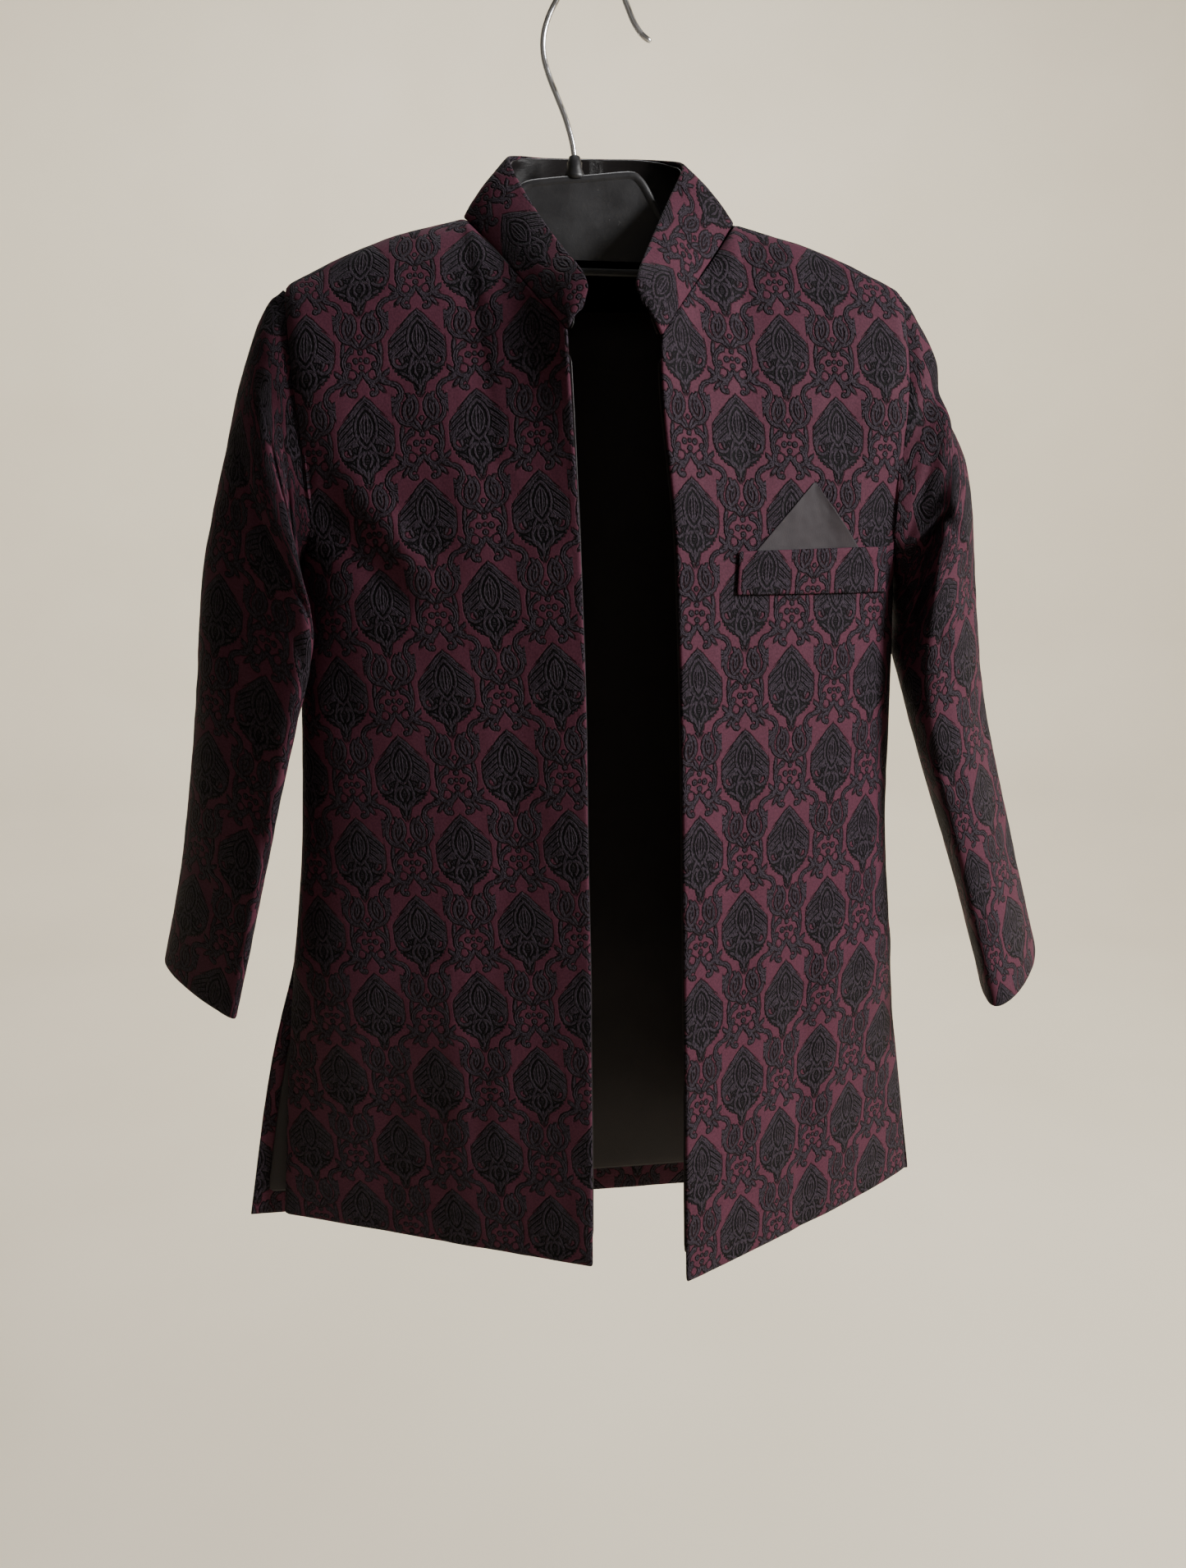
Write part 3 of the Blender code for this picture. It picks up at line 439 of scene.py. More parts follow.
def ringPoint(ring, turn):
    outer = Vector(ring[0:3])
    front = Vector(ring[3:6])
    inner = Vector(ring[6:9])
    rear = Vector(ring[9:12])
    centre = (outer + front + inner + rear) / 4
    first = (outer - inner) / 2 * math.cos(math.radians(turn))
    second = (front - rear) / 2 * math.sin(math.radians(turn))
    third = (outer + inner - front - rear) / 4 * math.cos(math.radians(2 * turn))
    return centre + first + second + third


def sleeveForm(piece, share, row):
    turn = (share * 360) % 360
    column = [(0.0,) + tuple(armholePoint(piece, turn))]
    for number, ring in enumerate(piece["rings"]):
        column.append((number + 1.0,) + tuple(ringPoint(ring, turn)))
    point = smoothPoint(column, row)
    middles = [(0.0,) + tuple((armholePoint(piece, 0) + armholePoint(piece, 180)) / 2)]
    for number, ring in enumerate(piece["rings"]):
        middle = sum((Vector(ring[place:place + 3]) for place in (0, 3, 6, 9)), Vector()) / 4
        middles.append((number + 1.0,) + tuple(middle))
    centre = smoothPoint(middles, row)
    lift = 0
    for foldTurn, foldRow, turnWidth, rowWidth, height in piece["folds"]:
        gap = abs((turn - foldTurn + 180) % 360 - 180)
        lift += height * hill(gap, turnWidth) * hill(row - foldRow, rowWidth)
    for foldTurn, foldRow, reach, lean, width, height in piece["creases"]:
        gap = (turn - foldTurn + 180) % 360 - 180
        lift += height * hill(gap, reach) * hill(row - foldRow - lean * gap, width)
    out = point - centre
    out.z *= 0.2
    return point + out.normalized() * lift * min(row * 4, 1)


sleeveRightForm = partial(sleeveForm, sleeveRight)
sleeveLeftForm = partial(sleeveForm, sleeveLeft)


# Lining, just inside the brocade and short of its hem
lining = {
    "gap": 0.3,
    "thick": 0.9,
    "armholeSlack": 0.9,
    "collarSlack": 0.4,
    "top": 0.1,
    "end": 1.96,
    "across": 40,
    "acrossBack": 60,
    "down": 60,
}


def liningRow(share, row):
    if row >= 1:
        return row
    part = clamp((share - 0.8) / 0.1)
    cut = lining["top"] + 0.62 * part * part * (3 - 2 * part)
    return cut + (row - lining["top"]) * (1 - cut) / (1 - lining["top"])


def liningFrontForm(piece, share, row):
    return frontForm(piece, share, liningRow(share, row))


liningRightForm = partial(liningFrontForm, frontRight)
liningLeftForm = partial(liningFrontForm, frontLeft)


def liningBackForm(share, row):
    # beside the slits the lining stops short of the edge
    short = 0.0135 * clamp((row - 1.5) / 0.15)
    return backForm(0.5 + (share - 0.5) * (1 - 2 * short), row)


def nearArmhole(share, row):
    side = max(hill(share - 0.93, 0.1), hill(share - 0.07, 0.1))
    return side * clamp(1.3 - row, 0, 0.5) / 0.5


# Breast welt and folded square, laid on the left front by x and z
pocket = {
    "welt": ((65.0, -241.1), (140.5, -238.4), (64.0, -259.6), (141.0, -259.3)),
    "weltThick": 1.2,
    "weltGap": 0.6,
    "squareBase": ((70.9, -243.6), (127.6, -242.4)),
    "squareTip": (101.7, -211.3),
    "squareThick": 0.5,
    "squareGap": 0.1,
}


chestSpots = []
for share in spread(0.05, 0.99, 24):
    for row in spread(0.3, 1.2, 24):
        chestSpots.append((share, row, frontLeftForm(share, row)))


def onLeftFront(x, z):
    # the share and row whose point has this x and z: the nearest known spot, then a few steps to it
    share, row, _ = min(chestSpots, key=lambda spot: (spot[2].x - x) ** 2 + (spot[2].z - z) ** 2)
    for _ in range(5):
        here = frontLeftForm(share, row)
        across = (frontLeftForm(share + 0.002, row) - here) / 0.002
        down = (frontLeftForm(share, row + 0.002) - here) / 0.002
        missX = x - here.x
        missZ = z - here.z
        whole = across.x * down.z - across.z * down.x
        share = clamp(share + clamp((missX * down.z - missZ * down.x) / whole, -0.03, 0.03), 0, 0.99)
        row = clamp(row + clamp((across.x * missZ - across.z * missX) / whole, -0.05, 0.05), 0, 1.99)
    return frontLeftForm(share, row)


def mixed(first, second, part):
    return first + (second - first) * part


def weltForm(share, row):
    corners = pocket["welt"]
    top = [mixed(corners[0][axis], corners[1][axis], share) for axis in (0, 1)]
    low = [mixed(corners[2][axis], corners[3][axis], share) for axis in (0, 1)]
    return onLeftFront(mixed(top[0], low[0], row), mixed(top[1], low[1], row))


def squareForm(share, row):
    left, right = pocket["squareBase"]
    tip = (pocket["squareTip"][0] + (share - 0.5) * 0.6, pocket["squareTip"][1])
    base = [mixed(left[axis], right[axis], share) for axis in (0, 1)]
    point = onLeftFront(mixed(tip[0], base[0], row), mixed(tip[1], base[1], row))
    point.y -= 1.4 * clamp(2 * share - 1) ** 2 * math.sin(math.pi * row)
    return point


# The thick figured cloth is a little uneven everywhere
def unevenness(point):
    return 0.28 * noise.noise(point * 0.11) + 0.16 * noise.noise(point * 0.32 + Vector((7, 3, 1)))


# A form read once on a grid: points, outward directions
def readForm(form, side, shares, rows, tube=False):
    points = [[form(share, row) for row in rows] for share in shares]
    last = len(shares) - 1
    outs = []
    for i in range(len(shares)):
        before = (i - 1) % last if tube else max(i - 1, 0)
        after = (i + 1) % last if tube else min(i + 1, last)
        if tube and i == last:
            after = 1
        line = []
        for j in range(len(rows)):
            across = points[after][j] - points[before][j]
            down = points[i][min(j + 1, len(rows) - 1)] - points[i][max(j - 1, 0)]
            line.append(across.cross(down).normalized() * side)
        outs.append(line)
    return points, outs


# The cloth laid flat: u across from the middle share, v up, both in metres
def layFlat(points, rows, middle, startRow):
    start = min(range(len(rows)), key=lambda j: abs(rows[j] - startRow))
    flat = [[None] * len(rows) for _ in points]
    for j in range(start, len(rows)):
        run = [0.0]
        for i in range(1, len(points)):
            run.append(run[-1] + (points[i][j] - points[i - 1][j]).length)
        origin = run[middle]
        for i in range(len(points)):
            flat[i][j] = ((run[i] - origin) * mm, points[i][j].z * mm)
    for i in range(len(points)):
        along = points[min(i + 1, len(points) - 1)][start] - points[max(i - 1, 0)][start]
        along.normalize()
        for j in range(start - 1, -1, -1):
            step = points[i][j] - points[i][j + 1]
            across = step.dot(along)
            up = math.sqrt(max(step.length_squared - across * across, 0))
            flat[i][j] = (flat[i][j + 1][0] + across * mm, flat[i][j + 1][1] + up * mm)
    return flat


def layTube(points, rows):
    last = len(points) - 1
    flat = [[None] * len(rows) for _ in points]
    fall = 0.0
    for j in range(len(rows)):
        girth = sum((points[i + 1][j] - points[i][j]).length for i in range(last))
        if j:
            fall += (points[0][j] - points[0][j - 1]).length
        for i in range(last + 1):
            flat[i][j] = ((i / last if i / last <= 0.5 else i / last - 1) * girth * mm, -fall * mm)
    return flat


def layCollar(points, rows):
    flat = [[None] * len(rows) for _ in points]
    run = [0.0]
    mid = len(rows) // 2
    for i in range(1, len(points)):
        run.append(run[-1] + (points[i][mid] - points[i - 1][mid]).length)
    for i in range(len(points)):
        fromEnd = min(run[i], run[-1] - run[i])
        for j in range(len(rows)):
            height = (points[i][j] - points[i][0]).length
            flat[i][j] = (height * mm * (1 if run[i] < run[-1] / 2 else -1), fromEnd * mm)
    return flat


# A wall of cloth bent from a flat block of cells
def clothWall(name, grid, flat, layer, tube=False, slack=None, levels=1):
    points, outs = grid
    depth, thick = layer
    strips = len(points) - 1
    steps = len(points[0]) - 1
    cells = bmesh.new()
    bmesh.ops.create_grid(cells, x_segments=strips, y_segments=steps, size=1.0)
    grown = bmesh.ops.extrude_face_region(cells, geom=list(cells.faces), use_keep_orig=True)
    inner = [item for item in grown["geom"] if isinstance(item, bmesh.types.BMVert)]
    bmesh.ops.translate(cells, verts=inner, vec=(0, 0, -1))
    bmesh.ops.recalc_face_normals(cells, faces=cells.faces)
    if tube:
        ends = [face for face in cells.faces if abs(sum(vert.co.x for vert in face.verts)) > 3.999]
        bmesh.ops.delete(cells, geom=ends, context="FACES")
    layout = cells.loops.layers.uv.new("cloth")
    for face in cells.faces:
        for loop in face.loops:
            i = round((loop.vert.co.x + 1) / 2 * strips)
            j = steps - round((loop.vert.co.y + 1) / 2 * steps)
            loop[layout].uv = flat[i][j]
        face.smooth = True
    for vert in cells.verts:
        i = round((vert.co.x + 1) / 2 * strips)
        j = steps - round((vert.co.y + 1) / 2 * steps)
        level = depth - vert.co.z * thick + (slack[i][j] if slack else 0) - unevenness(points[i][j])
        point = points[i][j] - outs[i][j] * level
        vert.co = Vector((point.x - hookSide, point.y, point.z)) * mm
    if tube:
        bmesh.ops.remove_doubles(cells, verts=cells.verts, dist=0.00002)
    if cells.calc_volume(signed=True) < 0:
        bmesh.ops.reverse_faces(cells, faces=cells.faces)
    return meshPiece(name, cells, levels)


def newObject(name, cells):
    mesh = bpy.data.meshes.new(name)
    cells.to_mesh(mesh)
    cells.free()
    made = bpy.data.objects.new(name, mesh)
    bpy.context.scene.collection.objects.link(made)
    return made


def meshPiece(name, cells, levels=0):
    piece = newObject(name, cells)
    if levels:
        finer = piece.modifiers.new("finer", "SUBSURF")
        finer.levels = levels
        finer.render_levels = levels
        finer.uv_smooth = "PRESERVE_BOUNDARIES"
    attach(piece, "root")
    return piece


# A closed line of radius and height turned about an upright axis, in metres
def lathed(profile, centreX, steps, merge):
    body = bmesh.new()
    points = [body.verts.new((centreX + radius, 0, z)) for radius, z in profile]
    edges = [body.edges.new(points[k:k + 2]) for k in range(len(points) - 1)]
    bmesh.ops.spin(
        body,
        geom=points + edges,
        cent=(centreX, 0, 0),
        axis=(0, 0, 1),
        angle=2 * math.pi,
        steps=steps,
        use_merge=True,
    )
    bmesh.ops.remove_doubles(body, verts=body.verts, dist=merge)
    bmesh.ops.recalc_face_normals(body, faces=body.faces)
    for face in body.faces:
        face.smooth = True
    return body


# Shader helpers: one node each
def calc(tree, operation, *terms):
    node = tree.nodes.new("ShaderNodeMath")
    node.operation = operation
    for place, term in enumerate(terms):
        if isinstance(term, (int, float)):
            node.inputs[place].default_value = term
        else:
            tree.links.new(term, node.inputs[place])
    return node.outputs[0]


def smallest(tree, terms):
    result = terms[0]
    for term in terms[1:]:
        result = calc(tree, "MINIMUM", result, term)
    return result


def plus(tree, first, second):
    return calc(tree, "ADD", first, second)


def minus(tree, first, second):
    return calc(tree, "SUBTRACT", first, second)


def times(tree, first, second):
    return calc(tree, "MULTIPLY", first, second)


def scaled(tree, value, factor, offset):
    return calc(tree, "MULTIPLY_ADD", value, factor, offset)


def larger(tree, first, second):
    return calc(tree, "MAXIMUM", first, second)


def smaller(tree, first, second):
    return calc(tree, "MINIMUM", first, second)


def positive(tree, value):
    return calc(tree, "ABSOLUTE", value)


def ribbed(tree, distance, spacing):
    return positive(tree, calc(tree, "SINE", times(tree, distance, math.pi / spacing)))


def ramped(tree, value, low, high, start=0.0, end=1.0):
    node = tree.nodes.new("ShaderNodeMapRange")
    node.interpolation_type = "SMOOTHSTEP"
    tree.links.new(value, node.inputs["Value"])
    node.inputs["From Min"].default_value = low
    node.inputs["From Max"].default_value = high
    node.inputs["To Min"].default_value = start
    node.inputs["To Max"].default_value = end
    return node.outputs["Result"]


def blended(tree, factor, first, second):
    node = tree.nodes.new("ShaderNodeMix")
    node.data_type = "RGBA"
    for place, term in ((0, factor), (6, first), (7, second)):
        if isinstance(term, (int, float)):
            node.inputs[place].default_value = term
        elif isinstance(term, tuple):
            node.inputs[place].default_value = term + (1.0,)
        else:
            tree.links.new(term, node.inputs[place])
    return node.outputs[2]


def placed(tree, vector, spot=(0, 0, 0), turn=0.0, size=(1, 1, 1), kind="TEXTURE"):
    node = tree.nodes.new("ShaderNodeMapping")
    node.vector_type = kind
    node.inputs["Location"].default_value = spot
    node.inputs["Rotation"].default_value = (0, 0, math.radians(turn))
    node.inputs["Scale"].default_value = size
    tree.links.new(vector, node.inputs["Vector"])
    return node.outputs["Vector"]


def lengthOf(tree, vector):
    node = tree.nodes.new("ShaderNodeVectorMath")
    node.operation = "LENGTH"
    tree.links.new(vector, node.inputs[0])
    return node.outputs["Value"]


def distanceTo(tree, vector, spot):
    node = tree.nodes.new("ShaderNodeVectorMath")
    node.operation = "DISTANCE"
    tree.links.new(vector, node.inputs[0])
    node.inputs[1].default_value = (spot[0], spot[1], 0)
    return node.outputs["Value"]


def parted(tree, vector):
    node = tree.nodes.new("ShaderNodeSeparateXYZ")
    tree.links.new(vector, node.inputs[0])
    return node.outputs


def joined(tree, *terms):
    node = tree.nodes.new("ShaderNodeCombineXYZ")
    for place, term in enumerate(terms):
        tree.links.new(term, node.inputs[place])
    return node.outputs[0]


def nearer(tree, chain, value):
    x, y, least = parted(tree, chain)
    return joined(tree, x, y, calc(tree, "MINIMUM", least, value))


def noisy(tree, vector, scale, detail=2.0, rough=0.5):
    node = tree.nodes.new("ShaderNodeTexNoise")
    node.inputs["Scale"].default_value = scale
    node.inputs["Detail"].default_value = detail
    node.inputs["Roughness"].default_value = rough
    tree.links.new(vector, node.inputs["Vector"])
    return node.outputs["Fac"]


def streaky(tree, vector, size, detail=2.0, rough=0.5, turn=0.0):
    return noisy(tree, placed(tree, vector, turn=turn, size=size, kind="POINT"), 1.0, detail, rough)


def newGroup(name, inputs, outputs):
    tree = bpy.data.node_groups.new(name, "ShaderNodeTree")
    for label, kind in inputs:
        tree.interface.new_socket(name=label, in_out="INPUT", socket_type=kind)
    for label, kind in outputs:
        tree.interface.new_socket(name=label, in_out="OUTPUT", socket_type=kind)
    return tree, tree.nodes.new("NodeGroupInput"), tree.nodes.new("NodeGroupOutput")


# The woven figure of the brocade, charted on half a repeat
damask = {
    "column": 24.0,  # half the repeat across; the next column drops by half a repeat
    "repeat": 71.5,
    "cord": 1.15,  # spacing of the raised cords in the drawn shapes
    "rib": 1.0,  # and in what lies between them
    "swell": 0.2,
    "bulb": (16, 20, 12.2),  # round sides: straight run from, to, radius
    "roof": (0.7, 0.714, 36),  # pointed top: share across, share up, height
    "cap": ((0, 29), 6.6),
    "blend": 4,
    "barbs": (0.022, 0.5, 2.5),  # leafy edge: bend, slope, spacing
    "notch": (3, 7, 0, 3.6),
    "foot": (0, 4.2, 4.8, 2.6, 90),
    "almond": ((-5.6, 22.6), 10.7),
    "slit": (0, 23.2, 3.4, 0.32, 90),
    "droopFrom": 16.5,
    "bandFrom": 28.5,
    "pointed": ((4.4, 64.6, 0), 13, (-3.9, 0), 7.1),
    "gap": ((8.1, 13.2), 1.9),
    # arcs: centre x, y, radius, facing in degrees, reach, half width
    "arcs": [
        (3, 49.5, 5.1, 18, 1.9, 0.85), (4.8, 44.4, 3, -55, -1.9, 0.7),
        (12.3, 71.3, 4.4, 180, 0.2, 0.85), (12.3, -0.2, 4.4, 180, 0.2, 0.85),
        (11, 71, 2.1, -90, 0.1, 0.6), (4.4, 63.7, 5.6, -32, 1.8, 0.7), (4.3, 38, 1.8, 25, -0.4, 0.65),
        (0.3, 8.9, 4, 10, 1.2, 0.6), (-1.6, 9.6, 3.6, 5, 2, 0.5), (7.8, 13.6, 3, -55, -0.6, 0.6),
    ],
    # leaves: centre x, y, half length, half width, turn
    "leaves": [
        (10.1, 44.5, 2, 0.65, 40), (9.9, 41, 2.4, 0.95, -20), (8.2, 42.6, 1.8, 0.7, -5),
        (10.5, 65.6, 2.6, 0.8, -60), (4.6, 69.2, 2, 0.65, 62), (4.9, 66, 1.6, 0.55, 35),
        (1.2, 43.6, 2.1, 0.7, -58), (3.6, 40.9, 2.4, 0.8, -38), (2.6, 56.8, 2, 0.55, 40),
        (8.3, 54.9, 2.6, 0.6, -82), (5.7, 54, 2.4, 0.7, -50), (0, 2.7, 2.8, 0.7, 90),
        (1.7, 4.5, 2.4, 0.65, 66), (3.8, 5.8, 1.9, 0.6, 48), (6.6, 7.8, 1.7, 0.6, 28),
        (7.8, 38.9, 1.8, 0.65, -48), (7.4, 13.8, 1.5, 0.55, 70), (9.9, 17.6, 2.4, 0.7, -40),
        (4.9, 17.3, 3.2, 0.7, -52), (3, 14, 3, 0.65, -66), (1.6, 57.9, 2.3, 0.6, 58),
        (1.5, 72.4, 2, 0.6, 70),
    ],
    # buds: centre x, y, radius
    "buds": [
        (0, 53.8, 0.85), (2.6, 50.2, 1), (0, 50.6, 0.6), (0, 47.4, 0.95), (0, 60.4, 0.7),
        (5.9, 48.5, 0.9), (3.9, 36.4, 0.95), (7.4, 44, 0.8), (11.6, 69.2, 0.8),
    ],
}


flatten = (1, 1, 1e6)  # takes the third coordinate out of a length


def makeDamask():
    tree, entry, leave = newGroup(
        "damaskFigure",
        [("Cloth", "NodeSocketVector")],
        [("Figure", "NodeSocketFloat"), ("Cord", "NodeSocketFloat"), ("PaintedEdgeShade", "NodeSocketFloat")],
    )
    wide = damask["column"]
    tall = damask["repeat"]
    inMm = placed(tree, entry.outputs["Cloth"], size=(1000, 1000, 1), kind="POINT")
    u, v, _ = parted(tree, inMm)
    column = calc(tree, "FLOOR", scaled(tree, u, 1 / wide, 0.5))
    x = positive(tree, scaled(tree, column, -wide, u))
    dropped = scaled(tree, calc(tree, "FLOORED_MODULO", column, 2), tall / 2, v)
    y = calc(tree, "FLOORED_MODULO", dropped, tall)
    half = joined(tree, x, y)

    def bulb(across, up):
        # round sides joined by a short straight run
        low, high, radius = damask["bulb"]
        run = plus(tree, larger(tree, minus(tree, up, high), 0), smaller(tree, minus(tree, up, low), 0))
        return minus(tree, lengthOf(tree, joined(tree, across, run)), radius)

    def circle(middle, radius, where=half):
        return minus(tree, distanceTo(tree, where, middle), radius)

    def leafAt(spotX, spotY, long, thick, lean):
        local = placed(tree, half, (spotX, spotY, 0), lean, (long, thick, 1))
        return times(tree, minus(tree, lengthOf(tree, local), 1), thick)

    def line(distance, inset, reach):
        # a line inside an outline
        return minus(tree, positive(tree, plus(tree, distance, inset)), reach)

    # medallion outline: pointed top, round sides, leaf below
    across, up, tip = damask["roof"]
    roof = plus(tree, times(tree, x, across), scaled(tree, y, up, -up * tip))
    body = smaller(tree, bulb(x, y), circle(*damask["cap"]))
    body = calc(tree, "SMOOTH_MAX", roof, body, damask["blend"])
    bend, slope, spacing = damask["barbs"]
    phase = scaled(tree, times(tree, x, x), bend, scaled(tree, x, slope, y))
    wave = positive(tree, minus(tree, calc(tree, "FRACT", calc(tree, "DIVIDE", phase, spacing)), 0.5))
    notch = times(tree, times(tree, wave, wave), ramped(tree, x, *damask["notch"]))
    body = smaller(tree, plus(tree, body, notch), leafAt(*damask["foot"]))
    # almond in its middle
    almond = circle(*damask["almond"])
    ring = line(almond, 0.65, 0.55)
    seed = larger(tree, plus(tree, almond, 2.2), times(tree, leafAt(*damask["slit"]), -1))
    outside = minus(tree, 0.4, almond)
    # drooping leaves beside it, and the band under the point
    droop = larger(tree, times(tree, minus(tree, wave, 0.34), 2.3), plus(tree, body, 0.12))
    droop = larger(tree, droop, minus(tree, damask["droopFrom"], scaled(tree, x, 0.2, y)))
    band = larger(tree, line(roof, 1.3, 0.75), minus(tree, damask["bandFrom"], y))
    flank = larger(tree, smaller(tree, droop, band), outside)
    # the pointed leaf beside the middle line, an almond leaning inwards
    leafSpot, leafLean, leafMiddle, leafRadius = damask["pointed"]
    leafX, leafY, _ = parted(tree, placed(tree, half, leafSpot, leafLean))
    leaf = circle(leafMiddle, leafRadius, joined(tree, positive(tree, leafX), leafY))
    leafRim = smaller(tree, line(leaf, 0.65, 0.62), plus(tree, leaf, 2.15))
    # the nearest edge so far travels as the third coordinate, so the shapes are worked out one by one
    chain = joined(tree, x, y, smallest(tree, [flank, ring, seed, leafRim]))
    for spotX, spotY, radius, facing, cut, thick in damask["arcs"]:
        local = placed(tree, chain, (spotX, spotY, 0), facing, flatten)
        off = positive(tree, minus(tree, lengthOf(tree, local), radius))
        beyond = minus(tree, cut, parted(tree, local)[0])
        chain = nearer(tree, chain, larger(tree, minus(tree, off, thick), beyond))
    for spotX, spotY, long, thick, lean in damask["leaves"]:
        local = placed(tree, chain, (spotX, spotY, 0), lean, (long, thick, flatten[2]))
        chain = nearer(tree, chain, scaled(tree, lengthOf(tree, local), thick, -thick))
    for spotX, spotY, radius in damask["buds"]:
        local = placed(tree, chain, (spotX, spotY, 0), 0, flatten)
        chain = nearer(tree, chain, minus(tree, lengthOf(tree, local), radius))
    stroke = minus(tree, parted(tree, chain)[2], damask["swell"])
    # a little unevenness in the weaving
    shaky = scaled(tree, noisy(tree, inMm, 1.1, 2.0), 0.9, -0.45)
    stroke = plus(tree, stroke, shaky)
    gap = times(tree, circle(*damask["gap"]), -1)
    fill = plus(tree, larger(tree, body, gap), shaky)
    neighbour = bulb(minus(tree, wide, x), minus(tree, y, tall / 2))
    edge = smallest(tree, [stroke, fill, plus(tree, neighbour, shaky)])
    figure = ramped(tree, edge, 0.14, -0.10)
    cord = ribbed(tree, stroke, damask["cord"])
    cord = times(tree, cord, ramped(tree, stroke, 0.05, -0.12))
    ribs = ribbed(tree, fill, damask["rib"])
    ribs = times(tree, ribs, times(tree, figure, ramped(tree, stroke, 0.25, 0.55, 0.0, 0.6)))
    # Painted shade: a dark line just outside the figure's edge, standing in for the shade where the cloth
    # puckers round the figure; the same mask also lowers the relief there.
    paintedEdgeShade = times(tree, ramped(tree, edge, 0.62, 0.08), minus(tree, 1, figure))
    for label, value in (("Figure", figure), ("Cord", larger(tree, cord, ribs)), ("PaintedEdgeShade", paintedEdgeShade)):
        tree.links.new(value, leave.inputs[label])
    return tree


def makeTwill():
    tree, entry, leave = newGroup(
        "fineTwill",
        [("Cloth", "NodeSocketVector"), ("Spacing", "NodeSocketFloat"), ("Lean", "NodeSocketFloat")],
        [("Rib", "NodeSocketFloat"), ("Slub", "NodeSocketFloat")],
    )
    u, v, _ = parted(tree, entry.outputs["Cloth"])
    line = scaled(tree, v, entry.outputs["Lean"], u)
    turns = calc(tree, "DIVIDE", line, entry.outputs["Spacing"])
    rib = scaled(tree, calc(tree, "SINE", times(tree, turns, 2 * math.pi)), 0.5, 0.5)
    slub = streaky(tree, entry.outputs["Cloth"], (2600, 600, 1), 1.0)
    tree.links.new(rib, leave.inputs["Rib"])
    tree.links.new(slub, leave.inputs["Slub"])
    return tree


damaskTree = makeDamask()
twillTree = makeTwill()


shaderLabels = {
    "rough": "Roughness",
    "specular": "Specular IOR Level",
    "sheen": "Sheen Weight",
    "metal": "Metallic",
}


def startMaterial(name):
    material = bpy.data.materials.new(name)
    material.use_nodes = True
    tree = material.node_tree
    tree.nodes.clear()
    out = tree.nodes.new("ShaderNodeOutputMaterial")
    shader = tree.nodes.new("ShaderNodeBsdfPrincipled")
    tree.links.new(shader.outputs[0], out.inputs["Surface"])
    return material, tree, shader


def useGroup(tree, group, vector, **values):
    node = tree.nodes.new("ShaderNodeGroup")
    node.node_tree = group
    tree.links.new(vector, node.inputs["Cloth"])
    for label, value in values.items():
        node.inputs[label].default_value = value
    return node


def setShader(shader, **values):
    for label, value in values.items():
        shader.inputs[shaderLabels[label]].default_value = value


def addBump(tree, shader, height, distance):
    bump = tree.nodes.new("ShaderNodeBump")
    bump.inputs["Distance"].default_value = distance
    tree.links.new(height, bump.inputs["Height"])
    tree.links.new(bump.outputs["Normal"], shader.inputs["Normal"])


brocade = {
    "ground": (0.080, 0.0225, 0.0390),
    "groundDeep": (0.030, 0.0070, 0.0135),
    "thread": (0.0330, 0.0235, 0.0330),
    # painted shade: near-black for the valleys between the raised cords and for the line round the figure
    "paintedGrooveShade": (0.0010, 0.0006, 0.0011),
    "rough": 0.72,
    "relief": 0.0006,
    "twill": 0.00055,
    "specular": 0.11,
    "sheen": 0.01,
}


def brocadeMaterial(name, origin, lean=0.0):
    material, tree, shader = startMaterial(name)
    uvMap = tree.nodes.new("ShaderNodeUVMap")
    uvMap.uv_map = "cloth"
    cloth = placed(tree, uvMap.outputs[0], (origin[0] * mm, origin[1] * mm, 0), lean)
    figure = useGroup(tree, damaskTree, cloth)
    twill = useGroup(tree, twillTree, cloth, Spacing=brocade["twill"], Lean=1.0)
    cloudy = streaky(tree, cloth, (40, 40, 1), 3.0, 0.6)
    shade = scaled(tree, twill.outputs["Rib"], 0.7, times(tree, twill.outputs["Slub"], 0.5))
    shade = scaled(tree, cloudy, 0.4, times(tree, shade, 0.75))
    mottle = streaky(tree, cloth, (950, 950, 1), 1.0, 0.7)
    shade = plus(tree, shade, scaled(tree, mottle, 1.2, -0.6))
    ground = blended(tree, shade, brocade["groundDeep"], brocade["ground"])
    # Painted shade: the thread colour falls to the painted groove shade in the valleys between the raised
    # cords.
    cords = ramped(tree, figure.outputs["Cord"], 0.15, 0.85)
    thread = blended(tree, cords, brocade["paintedGrooveShade"], brocade["thread"])
    # Streaks at 35 degrees darken the thread towards the same painted groove shade.
    hatch = ramped(tree, streaky(tree, cloth, (1500, 700, 1), turn=35.0), 0.40, 0.64)
    thread = blended(tree, times(tree, hatch, 0.75), thread, brocade["paintedGrooveShade"])
    colour = blended(tree, figure.outputs["Figure"], ground, thread)
    # Painted shade: the line round the figure is painted in the groove shade colour.
    colour = blended(tree, times(tree, figure.outputs["PaintedEdgeShade"], 0.9), colour, brocade["paintedGrooveShade"])
    tree.links.new(colour, shader.inputs["Base Color"])
    setShader(shader, rough=brocade["rough"], specular=brocade["specular"], sheen=brocade["sheen"])
    height = times(tree, figure.outputs["Figure"], 0.3)
    height = scaled(tree, figure.outputs["Cord"], 0.7, height)
    height = scaled(tree, figure.outputs["PaintedEdgeShade"], -0.35, height)
    height = scaled(tree, twill.outputs["Slub"], 0.10, height)
    addBump(tree, shader, height, brocade["relief"])
    return material


satin = {
    # dark colour, light colour, roughness
    "lining": ((0.012, 0.009, 0.010), (0.024, 0.019, 0.020), 0.42),
    "collar": ((0.005, 0.004, 0.004), (0.012, 0.010, 0.010), 0.36),
    "square": ((0.018, 0.0130, 0.0150), (0.026, 0.0195, 0.0225), 0.6),
    "thread": 0.0004,
    "relief": 0.00009,
    "specular": 0.18,
    "sheen": 0.02,
}


